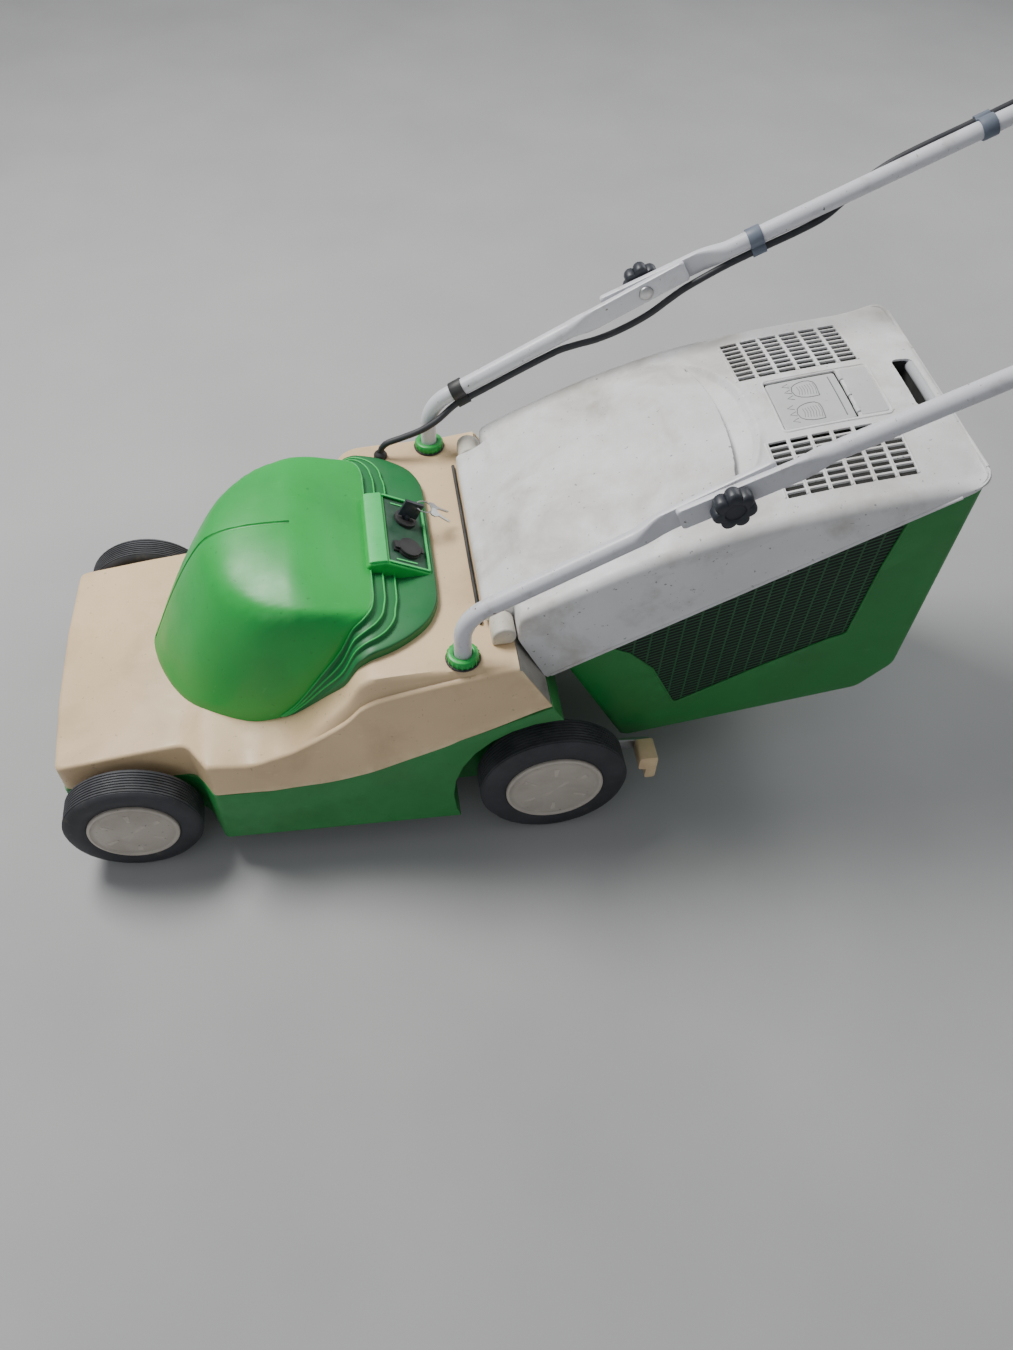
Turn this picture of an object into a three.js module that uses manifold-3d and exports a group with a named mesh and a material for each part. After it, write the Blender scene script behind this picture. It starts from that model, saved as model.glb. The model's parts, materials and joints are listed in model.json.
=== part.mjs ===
// A battery-electric walk-behind lawn mower with a grass catcher.
// Millimetres. +X runs from the front to the handle, +Y to the right of the person who pushes, +Z up.
// Pieces are made with the ground at z = 0 and the front axle at x = -FRONT_AXLE_SETBACK. At the end the
// whole is moved so that the middle of its footprint is the origin.
import * as THREE from "three";
import { mergeVertices } from "three/addons/utils/BufferGeometryUtils.js";
import Module from "manifold-3d";

const wasm = await Module();
wasm.setup();

// ---------- driving dimensions ----------
const GAP = 0.35; // between pieces that touch
const RUN = 1.5; // around pieces that turn or slide

// Wheels
const FRONT_AXLE_SETBACK = 400;
const WHEELBASE = 566;
const FRONT_WHEEL_D = 180;
const REAR_WHEEL_D = 204;
const FRONT_TRACK = 477; // over the hub caps
const REAR_TRACK = 506;
const FRONT_TYRE_W = 45;
const REAR_TYRE_W = 48;
const TYRE_SIDE = 0.34; // share of the wheel's radius that is tyre
const CAP_PROUD = 2; // hub cap beyond the tyre's side
const CAP_T = 7;
const WEB_T = 5;
const RIM_T = 5;
const HUB_D = 30;
const TREAD_R = 6; // shoulder of the tread
const WHEEL_SIDES = 24;

// Axle cranks, which set the cutting height
const AXLE_D = 12;
const CRANK_THROW_X = 42;
const CRANK_THROW_Z = 12;
const ARM_T = 6;
const ARM_W = 24;
const LEVER_REACH = 178; // from the rear crank's pivot to the grip
const LEVER_GRIP_OUT = 34; // how far the grip stands out sideways

// Deck
const FRONT_OVERHANG = 86; // ahead of the front axle
const DECK_W = 456; // at the crease
const NECK_CLEARANCE = 12.5; // from the front tyres to the narrow front of the deck
const NECK_LENGTH = 172; // of the narrow front part
const NECK_FILLET = 28;
const DECK_WALL = 3.5;
const REAR_EDGE_AHEAD = 52; // top rear edge, ahead of the rear axle
const REAR_END_BEHIND = 8; // lower rear edge, behind the rear axle
const REAR_RAKE = 0.58; // how far the rear face runs back for each mm down
const FRONT_EDGE_H = 169;
const LOW_DECK_H = 206; // in front of the ramp
const PLATFORM_H = 338;
const SKIRT_H = 56; // lower edge of the housing
const SIDE_DRAFT = 0.08; // the sides widen downwards
const LIP_W = 11; // from the crease in to the recessed side facet
const WELL_CLEARANCE = 17; // from the rear tyres to the wells' walls, with the crank and lever between
const ARCH_GAP = 36; // between the rear tyre and its arch

// Blade and motor
const BLADE_BEHIND = WHEELBASE - 336; // shaft, behind the front axle
const BLADE_L = 410;
const BLADE_W = 52;
const BLADE_T = 4;
const BLADE_H = 74;
const SHAFT_D = 17;
const MOTOR_D = 150;
const MOTOR_H = 120;
const BATTERY_L = 84;
const BATTERY_W = 190;
const BATTERY_H = 96;

// Motor hood
const HOOD_CREST_H = 402;
const HOOD_WALL = 3;
const HOOD_FRONT = 196; // from the hood's middle to its front
const HOOD_REAR = 194;
const FLANGE_T = 12; // hood's rear plate above the platform

// Handle
const TUBE_D = 22;
const HANDLE_SPREAD = 400; // between tube centres
const SOCKET_AHEAD = 118; // ahead of the rear axle
const SOCKET_DEPTH = 90;
const FERRULE_D = 37;
const LOWER_RISE = 40; // straight up out of the platform
const BEND_R = 56;
const LOWER_SLOPE = 28.8; // degrees above level
const UPPER_SLOPE = 25.2;
const PIVOT_REACH = 290; // fold pivot, behind the socket
const UPPER_LENGTH = 850; // from the fold pivot to the grip bar
const CORNER_R = 62;
const FLAT_T = 9.6; // thickness of a crushed tube end
const FLAT_W = 29;
const FLAT_REACH = 58; // from the pivot to the end of the crushed part
const BOLT_D = 8;
const KNOB_D = 50;
const KNOB_T = 18;
const FOAM_D = 32;
const FOAM_L = HANDLE_SPREAD - 140;

// Catcher
const TUBE_CLEARANCE = 4; // between the lid and each handle tube
const LID_WALL = 3;
const LID_LAP = 33; // the lid reaches forward over the deck
const LID_L = 584;
const LID_FRONT_H = 360;
const BAG_WALL = 2.6;
const BAG_INSET = 7; // the bag's sides inside the lid's
const BAG_FLOOR_H = 92;
const BAG_REAR_INSET = 6;
const BAG_TAPER = 0.03; // the bag's sides lean in downwards

// Cable
const CABLE_D = 9;

// ---------- derived places ----------
const CHUTE_W = HANDLE_SPREAD - 100;
const HOOD_HALF_W = HANDLE_SPREAD / 2 - 10; // between the tubes' ferrules
const frontAxleX = -FRONT_AXLE_SETBACK;
const rearAxleX = frontAxleX + WHEELBASE;
const deckFrontX = frontAxleX - FRONT_OVERHANG;
const deckRearX = rearAxleX - REAR_EDGE_AHEAD;
const socketX = rearAxleX - SOCKET_AHEAD;
const bladeX = frontAxleX + BLADE_BEHIND;
const hoodX = bladeX + 5;
const frontTyreIn = FRONT_TRACK / 2 - CAP_PROUD - FRONT_TYRE_W;
const rearTyreIn = REAR_TRACK / 2 - CAP_PROUD - REAR_TYRE_W;
const neckHalf = frontTyreIn - NECK_CLEARANCE;
const wellHalf = rearTyreIn - WELL_CLEARANCE;
const neckRearX = deckFrontX + NECK_LENGTH;
const creaseHalf = DECK_W / 2;
const facetHalf = creaseHalf - LIP_W;
const frontWheelR = FRONT_WHEEL_D / 2;
const rearWheelR = REAR_WHEEL_D / 2;
const tubeY = HANDLE_SPREAD / 2;
const lidHalf = tubeY - TUBE_D / 2 - TUBE_CLEARANCE;
const deckEndX = rearAxleX + REAR_END_BEHIND;
const lidFrontX = deckRearX - LID_LAP;
const lidRearX = lidFrontX + LID_L;
const pivotX = socketX + PIVOT_REACH;
const SIDES = [["left", -1], ["right", 1]];

const group = new THREE.Group();

// ---------- helpers ----------
const radians = THREE.MathUtils.degToRad;

// Height of a line of [x, z] points at x.
function along(line, x) {
  if (x <= line[0][0]) return line[0][1];
  for (let i = 1; i < line.length; i++) {
    const [x0, z0] = line[i - 1];
    const [x1, z1] = line[i];
    if (x <= x1) return z0 + ((z1 - z0) * (x - x0)) / (x1 - x0);
  }
  return line[line.length - 1][1];
}

// A closed geometry as a manifold solid. A profile may be drawn either way round.
function solid(geometry) {
  const bare = geometry.clone();
  bare.deleteAttribute("normal");
  bare.deleteAttribute("uv");
  const merged = mergeVertices(bare, 1e-3);
  const index = merged.index.array;
  const kept = [];
  for (let i = 0; i < index.length; i += 3) {
    const [a, b, c] = [index[i], index[i + 1], index[i + 2]];
    if (a !== b && b !== c && c !== a) kept.push(a, b, c);
  }
  const build = (corners) =>
    new wasm.Manifold(
      new wasm.Mesh({
        numProp: 3,
        vertProperties: new Float32Array(merged.attributes.position.array),
        triVerts: new Uint32Array(corners),
      }),
    );
  const made = build(kept);
  if (made.volume() >= 0) return made;
  for (let i = 0; i < kept.length; i += 3) [kept[i + 1], kept[i + 2]] = [kept[i + 2], kept[i + 1]];
  return build(kept);
}

function geometryOf(shape) {
  const mesh = shape.getMesh();
  const points = new Float32Array(mesh.numVert * 3);
  for (let i = 0; i < mesh.numVert; i++) {
    points.set(mesh.vertProperties.subarray(i * mesh.numProp, i * mesh.numProp + 3), i * 3);
  }
  const geometry = new THREE.BufferGeometry();
  geometry.setAttribute("position", new THREE.BufferAttribute(points, 3));
  geometry.setIndex(new THREE.BufferAttribute(mesh.triVerts, 1));
  geometry.computeVertexNormals();
  return geometry;
}

const finish = (color, roughness, metalness = 0) =>
  new THREE.MeshStandardMaterial({ color, roughness, metalness });
const BEIGE = () => finish(0xc9b391, 0.5);
const GREEN = () => finish(0x2f9c46, 0.38);
const WHITE = () => finish(0xcfd0d2, 0.5);
const TUBE_WHITE = () => finish(0xdcdde2, 0.35);
const BLACK = () => finish(0x1c1d20, 0.55);
const GREY_BLUE = () => finish(0x59626f, 0.5);
const RUBBER = () => finish(0x26272c, 0.8);
const STEEL = () => finish(0x9a9ca0, 0.35, 1);
const CAST = () => finish(0x6c6f73, 0.5, 0.8);

// Adds a solid, in the frame that the pieces are made in, as a named mesh.
function piece(name, shape, material) {
  const mesh = new THREE.Mesh(geometryOf(shape), material);
  mesh.name = name;
  group.add(mesh);
  return mesh;
}

const joined = (shapes) => shapes.reduce((a, b) => a.add(b));
const without = (shape, cuts) => cuts.reduce((a, b) => a.subtract(b), shape);

function box(x0, x1, y0, y1, z0, z1) {
  const g = new THREE.BoxGeometry(x1 - x0, y1 - y0, z1 - z0);
  g.translate((x0 + x1) / 2, (y0 + y1) / 2, (z0 + z1) / 2);
  return solid(g);
}

// A cylinder along Y or Z between two coordinates.
function rodY(x, z, radius, y0, y1, sides = 20) {
  const g = new THREE.CylinderGeometry(radius, radius, Math.abs(y1 - y0), sides);
  g.translate(x, (y0 + y1) / 2, z);
  return solid(g);
}
function rodZ(x, y, radius, z0, z1, sides = 20, topRadius = radius) {
  const g = new THREE.CylinderGeometry(topRadius, radius, z1 - z0, sides);
  g.rotateX(Math.PI / 2);
  g.translate(x, y, (z0 + z1) / 2);
  return solid(g);
}

// A closed profile of [radius, y] turned about a Y axis. side = -1 mirrors it.
function turnedY(x, y, z, profile, side, sides) {
  const points = profile.map(([r, h]) => new THREE.Vector2(r, h * side));
  const g = new THREE.LatheGeometry(points, sides);
  g.translate(x, y, z);
  return solid(g);
}

// An outline of [a, b, fillet] corners as a shape.
function outline(corners) {
  const shape = new THREE.Shape();
  corners.forEach(([a, b, fillet = 0], i) => {
    const [pa, pb] = corners[(i + corners.length - 1) % corners.length];
    const [na, nb] = corners[(i + 1) % corners.length];
    const before = Math.hypot(pa - a, pb - b);
    const after = Math.hypot(na - a, nb - b);
    const r = Math.min(fillet, before * 0.48, after * 0.48);
    const first = [a + ((pa - a) * r) / before, b + ((pb - b) * r) / before];
    if (i === 0) shape.moveTo(...first);
    else shape.lineTo(...first);
    if (r > 0) shape.quadraticCurveTo(a, b, a + ((na - a) * r) / after, b + ((nb - b) * r) / after);
  });
  shape.closePath();
  return shape;
}
// Plan outline raised along Z, and side outline of (x, z) drawn out along Y.
function raised(corners, z0, z1, curveSegments = 4) {
  const g = new THREE.ExtrudeGeometry(outline(corners), { depth: z1 - z0, bevelEnabled: false, curveSegments });
  g.translate(0, 0, z0);
  return solid(g);
}
function drawn(corners, y0, y1, curveSegments = 4) {
  const g = new THREE.ExtrudeGeometry(outline(corners), { depth: y1 - y0, bevelEnabled: false, curveSegments });
  g.rotateX(Math.PI / 2);
  g.translate(0, y1, 0);
  return solid(g);
}
const mirroredPlan = (half) => [
  ...half,
  ...half
    .slice()
    .reverse()
    .map(([x, y, r]) => [x, -y, r]),
];

// A block whose top and bottom follow two height functions on a grid of x and y lines.
function relief(xs, ys, top, bottom) {
  const g = new THREE.BoxGeometry(1, 1, 1, xs.length - 1, ys.length - 1, 1);
  const p = g.attributes.position;
  for (let i = 0; i < p.count; i++) {
    const x = xs[Math.round((p.getX(i) + 0.5) * (xs.length - 1))];
    const y = ys[Math.round((p.getY(i) + 0.5) * (ys.length - 1))];
    p.setXYZ(i, x, y, p.getZ(i) > 0 ? top(x, y) : bottom(x, y));
  }
  return solid(g);
}

// A path whose sections sit exactly at its points.
class Route extends THREE.Curve {
  constructor(points) {
    super();
    this.points = points.map((p) => new THREE.Vector3(...p));
  }
  getPoint(t) {
    const at = t * (this.points.length - 1);
    const i = Math.min(Math.floor(at), this.points.length - 2);
    return this.points[i].clone().lerp(this.points[i + 1], at - i);
  }
  getTangent(t) {
    const last = this.points.length - 1;
    const i = Math.round(t * last);
    const back = this.points[Math.max(i - 1, 0)];
    const here = this.points[i];
    const ahead = this.points[Math.min(i + 1, last)];
    const arrive = here.clone().sub(back).normalize();
    const leave = ahead.clone().sub(here).normalize();
    return arrive.add(leave).normalize();
  }
  getUtoTmapping(u) {
    return u;
  }
}
function tube(points, diameter, sides = 12) {
  const section = new THREE.Shape();
  for (let i = 0; i < sides; i++) {
    const a = (2 * Math.PI * i) / sides;
    const q = [(Math.cos(a) * diameter) / 2, (Math.sin(a) * diameter) / 2];
    if (i === 0) section.moveTo(...q);
    else section.lineTo(...q);
  }
  section.closePath();
  const route = new Route(points);
  return solid(new THREE.ExtrudeGeometry(section, { steps: points.length - 1, extrudePath: route }));
}
// Points of an arc in a plane: centre + r (cos a u + sin a v).
function arc(centre, u, v, r, from, to, steps) {
  return Array.from({ length: steps + 1 }, (_, i) => {
    const a = radians(from + ((to - from) * i) / steps);
    return centre.map((c, k) => c + r * (Math.cos(a) * u[k] + Math.sin(a) * v[k]));
  });
}

// ---------- deck surfaces ----------
const rampFootX = hoodX - 35;
const rampTopX = socketX - 125;
const MIDDLE_LINE = [
  [deckFrontX, FRONT_EDGE_H],
  [deckFrontX + 125, FRONT_EDGE_H + 30],
  [deckFrontX + 196, LOW_DECK_H],
  [rampFootX, LOW_DECK_H + 5],
  [rampFootX + 25, LOW_DECK_H + 13],
  [rampFootX + 48, LOW_DECK_H + 30],
  [rampFootX + 74, LOW_DECK_H + 56],
  [rampTopX - 22, PLATFORM_H - 46],
  [rampTopX, PLATFORM_H - 10],
  [rampTopX + 20, PLATFORM_H - 2],
  [deckRearX, PLATFORM_H + 3],
];
const CREASE_LINE = [
  [deckFrontX, FRONT_EDGE_H],
  [neckRearX - 10, 186],
  [neckRearX + 32, 206],
  [rampFootX - 33, 200],
  [rampFootX + 12, 214],
  [rampTopX - 10, 256],
  [rampTopX + 43, 275],
  [rampTopX + 98, 296],
  [deckRearX, PLATFORM_H + 3],
];
const FACET_LINE = [
  [rampFootX + 12, creaseHalf - 2],
  [rampFootX + 74, facetHalf - 2],
  [rampTopX, facetHalf],
  [deckRearX, creaseHalf - 6],
];
const PARTING_LINE = [
  [deckFrontX - 20, 122],
  [neckRearX - 4, 130],
  [neckRearX + 30, 149],
  [rampFootX - 12, 146],
  [rampFootX + 66, 155],
  [rampTopX + 62, 196],
  [rearAxleX - 77, 238],
  [deckEndX, 272],
];
function deckTop(x, y) {
  const middle = along(MIDDLE_LINE, x);
  const crease = along(CREASE_LINE, x);
  const facet = along(FACET_LINE, x);
  const a = Math.abs(y);
  if (x < rampFootX) return middle + (crease - middle) * Math.min(1, a / creaseHalf) ** 2;
  if (a <= facet) return middle;
  return middle + (crease - middle) * Math.min(1, (a - facet) / (creaseHalf - facet));
}
const DECK_XS = [...new Set([...MIDDLE_LINE, ...CREASE_LINE].map(([x]) => x))].sort((a, b) => a - b);
DECK_XS.push(deckEndX);
DECK_XS.unshift(deckFrontX - 20);
const DECK_YS = [-300, -creaseHalf, -facetHalf, -150, -75, 0, 75, 150, facetHalf, creaseHalf, 300];
const deckRoof = (lowered) => relief(DECK_XS, DECK_YS, (x, y) => deckTop(x, y) - lowered, () => 0);
const NOSE_BOW = 7; // how far the front edge bulges
const deckPlan = (inset) =>
  mirroredPlan([
    [deckFrontX - NOSE_BOW + inset, 60, 40],
    [deckFrontX + inset, neckHalf - inset, 6],
    [neckRearX + inset, neckHalf - inset, NECK_FILLET - 4],
    [neckRearX + 30 + inset, creaseHalf - inset, 6],
    [deckEndX, creaseHalf - inset, 0],
  ]);
// Everything ahead of the raked rear face, moved forward by inset.
const aheadOfRear = (inset) =>
  drawn(
    [
      [deckFrontX - 50, 0],
      [deckEndX - inset, 0],
      [deckEndX - inset, 180],
      [deckRearX + REAR_RAKE * (PLATFORM_H + 3 - 180) - inset, 180],
      [deckRearX - inset, PLATFORM_H + 3],
      [deckRearX - inset, 500],
      [deckFrontX - 50, 500],
    ],
    -320,
    320,
  );
const abovePartingLine = (offset) =>
  drawn(
    [
      ...PARTING_LINE.map(([x, z]) => [x, z + offset]),
      [deckEndX + 30, PARTING_LINE[PARTING_LINE.length - 1][1] + offset],
      [deckEndX + 30, 600],
      [deckFrontX - 60, 600],
      [deckFrontX - 60, PARTING_LINE[0][1] + offset],
    ],
    -320,
    320,
  );
// The moulded sides lean out below the crease.
function drafted(shape) {
  return shape.warp((v) => {
    const drop = Math.max(0, deckTop(v[0], creaseHalf) - v[2]);
    if (v[0] > neckRearX + 20) v[1] *= 1 + (drop * SIDE_DRAFT) / creaseHalf;
  });
}

// ---------- motor hood surfaces ----------
// The hood's plan, seen from its middle: [degrees from the front, reach].
const HOOD_REACH = [
  [0, HOOD_FRONT],
  [20, HOOD_FRONT - 8],
  [40, 183],
  [60, 174],
  [80, 167],
  [95, 166],
  [108, 170],
  [118, 182],
  [129, 186],
];
const HOOD_PLAN_W = 190; // the flange's half width that this plan is drawn for
const HOOD_SECTION = [
  // [share of the reach, height share to the front, to the sides, to the rear]
  [0, 1, 1, 1],
  [0.2, 0.99, 1, 1],
  [0.4, 0.91, 0.995, 1],
  [0.55, 0.8, 0.985, 1],
  [0.68, 0.62, 0.985, 1],
  [0.78, 0.47, 0.965, 0.995],
  [0.86, 0.34, 0.93, 0.985],
  [0.92, 0.23, 0.85, 0.97],
  [0.965, 0.13, 0.68, 0.95],
  [1, 0.03, 0.2, 0.8],
  [1, 0, 0, 0],
  [0, 0, 0, 0],
];
const HOOD_RIM_H = 374; // top at the rear edge
const RIM_BEHIND = 113; // that edge, behind the hood's middle
const HOOD_FLOOR = 40; // the hood is made this far below the deck's surface, then cut to it
// The domed body; inset moves its whole surface inwards.
function hoodBody(inset, sides) {
  const profile = HOOD_SECTION.map(([r], i) => new THREE.Vector2(r, i));
  const g = new THREE.LatheGeometry(profile.reverse(), sides);
  const p = g.attributes.position;
  for (let i = 0; i < p.count; i++) {
    const turn = Math.abs(Math.atan2(p.getX(i), p.getZ(i)));
    const degrees = THREE.MathUtils.radToDeg(turn);
    const [share, front, side, rear] = HOOD_SECTION[Math.round(p.getY(i))];
    const across = Math.sin(turn) ** 2;
    const height = (turn < Math.PI / 2 ? front : rear) * (1 - across) + side * across;
    let reach = along(HOOD_REACH, degrees);
    if (degrees > 95) reach = Math.min(reach, RIM_BEHIND / Math.max(-Math.cos(turn), 0.01));
    const r = share * (reach - inset);
    const x = hoodX - Math.cos(turn) * r;
    const y = (Math.sign(p.getX(i)) * Math.sin(turn) * r * HOOD_HALF_W) / HOOD_PLAN_W;
    const fall = THREE.MathUtils.clamp((x - hoodX - 20) / (RIM_BEHIND - 20), 0, 1);
    const top = HOOD_CREST_H - (HOOD_CREST_H - HOOD_RIM_H) * fall - inset;
    const deck = deckTop(x, y);
    p.setXYZ(i, x, y, height > 0 ? deck + (top - deck) * height : deck - HOOD_FLOOR);
  }
  return solid(g);
}
// Plan of the flange and of the terraces, each pulled in from the one below.
const flangePlan = (pull) =>
  mirroredPlan([
    [hoodX - 120, 60, 20],
    [hoodX - 60, 150, 30],
    [hoodX - 20, HOOD_HALF_W - 28, 20],
    [hoodX + 40, HOOD_HALF_W - 18 - pull * 0.35, 20],
    [hoodX + 78 - pull * 0.3, HOOD_HALF_W + 1 - pull * 0.7, 22],
    [hoodX + 134 - pull * 0.8, HOOD_HALF_W - 10 - pull * 0.8, 26],
    [hoodX + HOOD_REAR - pull, 112 - pull * 0.1, 34],
  ]);
const TERRACES = [
  // [pulled in, top above the deck]
  [0, FLANGE_T],
  [50, FLANGE_T + 8],
  [66, FLANGE_T + 16],
];

// ---------- places shared by several pieces ----------
const REAR_AXLE_ROOM = 128; // the chute's floor passes above the rear axle
const CABLE_EXIT = [hoodX + 142, tubeY - 12];
const frontPivot = [frontAxleX - CRANK_THROW_X, frontWheelR + CRANK_THROW_Z];
const rearPivot = [rearAxleX - CRANK_THROW_X, rearWheelR + CRANK_THROW_Z];
const SCREW_X = hoodX + 176;
const SCREW_Y = 102;
const SCREW_D = 6;
const LOCK_Y = 26;
const LOCK_D = 24;
const CHARGE_Y = -30;
const CHARGE_D = 27;
const GROOVE = [
  [hoodX - 190, 0, 228],
  [hoodX - 160, 0, 300],
  [hoodX - 128, 0, 340],
  [hoodX - 90, 0, 372],
  [hoodX - 40, 0, 395],
  [hoodX + 18, 0, 403],
];

// ---------- deck ----------
function makeDeck() {
  const shell = (inset) =>
    raised(deckPlan(inset), 0, 500, 3)
      .intersect(deckRoof(inset))
      .intersect(aheadOfRear(inset));
  const whole = shell(0);
  const inner = shell(DECK_WALL);
  const hoodHole = raised(
    [
      [hoodX - HOOD_FRONT + 34, 0, 60],
      [hoodX - 60, -128, 60],
      [hoodX + HOOD_REAR - 16, 14 - SCREW_Y, 16],
      [hoodX + HOOD_REAR - 16, SCREW_Y - 14, 16],
      [hoodX - 60, 128, 60],
    ],
    100,
    600,
  );
  const chute = box(deckRearX - 60, deckEndX + 60, -CHUTE_W / 2, CHUTE_W / 2, 0, PLATFORM_H - 22);
  const socketHoles = SIDES.map(([, s]) => rodZ(socketX, s * tubeY, FERRULE_D / 2 + RUN, 200, 400, 24));
  const cableHole = rodZ(CABLE_EXIT[0], CABLE_EXIT[1], CABLE_D / 2 + RUN, 250, 400, 10);
  const cover = without(whole.subtract(inner), [hoodHole, chute, cableHole, ...socketHoles]);
  piece("deck_cover", drafted(cover.intersect(abovePartingLine(0))), BEIGE());

  // The housing hangs below the parting line: skirt, roof over the blade, wheel wells and chute.
  const below = (inset, lowered) =>
    raised(deckPlan(inset), lowered > 0 ? 0 : SKIRT_H, 500, 3)
      .subtract(abovePartingLine(-GAP - lowered))
      .intersect(aheadOfRear(inset));
  const outer = below(0, 0);
  const hollow = below(DECK_WALL, DECK_WALL);
  // Each rear wheel runs in an arch, whose wall closes it off from the blade.
  const arch = (more) =>
    SIDES.map(([, s]) => {
      const radius = rearWheelR + ARCH_GAP + more;
      return rodY(rearAxleX, rearWheelR, radius, s * (wellHalf - more), s * 320, 28);
    });
  const roofHole = rodZ(bladeX, 0, MOTOR_D / 2 - 12, 100, 400, 28);
  const mouth = box(rearAxleX - 110, deckEndX + 60, -CHUTE_W / 2, CHUTE_W / 2, REAR_AXLE_ROOM, 400);
  const crankBars = [
    rodY(frontPivot[0], frontPivot[1], AXLE_D / 2 + RUN, -300, 300, 16),
    rodY(rearPivot[0], rearPivot[1], AXLE_D / 2 + RUN, -300, 300, 16),
  ];
  const tubeHoles = SIDES.map(([, s]) => rodZ(socketX, s * tubeY, TUBE_D / 2 + GAP, 100, 400, 16));
  const skirt = without(drafted(outer), arch(0)).subtract(without(drafted(hollow), arch(DECK_WALL)));
  piece("lower_housing", without(skirt, [roofHole, mouth, ...crankBars, ...tubeHoles]), GREEN());
}
// The rear seal: a black strip under the lid's front edge, turned down over the deck's raked rear face.
const SEAL_T = 3.6;
const SEAL_HALF = CHUTE_W / 2;
const SEAL_LOW = 318;
function makeSeal() {
  const rear = (z, back) => [deckRearX + REAR_RAKE * (PLATFORM_H + 3 - z) + back, z];
  const front = deckRearX - 22;
  const deck = deckTop(front, 0);
  const strip = drawn(
    [
      [front, deck + GAP],
      [deckRearX + 0.4, PLATFORM_H + 3 + GAP],
      rear(SEAL_LOW, GAP + 0.2),
      rear(SEAL_LOW, SEAL_T),
      [deckRearX + SEAL_T, PLATFORM_H + 3 + SEAL_T],
      [front, deck + SEAL_T],
    ],
    -SEAL_HALF,
    SEAL_HALF,
  );
  piece("rear_seal", strip, RUBBER());
}

// ---------- motor hood, console and lock ----------
const CONSOLE_HALF = 66;
const CONSOLE_FRONT = [hoodX + 112, 380];
const CONSOLE_RIDGE = [hoodX + 136, 381];
const CONSOLE_REAR = [hoodX + HOOD_REAR - 5, PLATFORM_H + FLANGE_T + 3];
const PANEL_INSET = 5;
const panelTilt = Math.atan2(CONSOLE_RIDGE[1] - CONSOLE_REAR[1], CONSOLE_REAR[0] - CONSOLE_RIDGE[0]);
function makeHood() {
  const deckBody = deckRoof(-GAP);
  const terraces = TERRACES.map(([pull, height]) =>
    raised(flangePlan(pull), 150, 500, 3).intersect(deckRoof(-height)),
  );
  const hollow = hoodBody(HOOD_WALL, 20).intersect(box(hoodX - 300, hoodX + 100, -300, 300, 0, 500));
  const wedge = drawn(
    [
      [hoodX + 90, 340],
      [hoodX + 90, 376],
      CONSOLE_FRONT,
      CONSOLE_RIDGE,
      CONSOLE_REAR,
      [CONSOLE_REAR[0], 340],
    ],
    -CONSOLE_HALF,
    CONSOLE_HALF,
  );
  const recess = drawn(
    [
      [CONSOLE_RIDGE[0] + 4, CONSOLE_RIDGE[1] + 6],
      [CONSOLE_RIDGE[0] + 4, CONSOLE_RIDGE[1] - 6],
      [CONSOLE_REAR[0] - 2, CONSOLE_REAR[1] - 4],
      [CONSOLE_REAR[0] - 2, CONSOLE_REAR[1] + 8],
    ],
    PANEL_INSET - CONSOLE_HALF,
    CONSOLE_HALF - PANEL_INSET,
  );
  const under = box(hoodX + 60, hoodX + 176, -120, 120, 200, PLATFORM_H + 4);
  const below = box(hoodX - 400, hoodX + 400, -300, 300, 0, 150);
  const screwHoles = SIDES.map(([, s]) => rodZ(SCREW_X, s * SCREW_Y, SCREW_D / 2 + GAP, 330, 372, 12));
  const headFloor = PLATFORM_H + FLANGE_T - 5;
  const heads = SIDES.map(([, s]) => rodZ(SCREW_X, s * SCREW_Y, SCREW_D + 0.6, headFloor, 372, 14));
  const lockHole = panelRod(0, LOCK_Y, LOCK_D / 2 + GAP, -40, 20);
  const chargeHole = panelRod(0, CHARGE_Y, CHARGE_D / 2 + GAP, -40, 20);
  const groove = tube(GROOVE, 7, 6);
  const made = without(joined([hoodBody(0, 32), ...terraces, wedge]), [
    hollow,
    deckBody,
    recess,
    under,
    below,
    groove,
    lockHole,
    chargeHole,
    ...screwHoles,
    ...heads,
  ]);
  const largest = made.decompose().sort((a, b) => b.volume() - a.volume())[0];
  piece("motor_hood", largest, GREEN());
}
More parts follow.
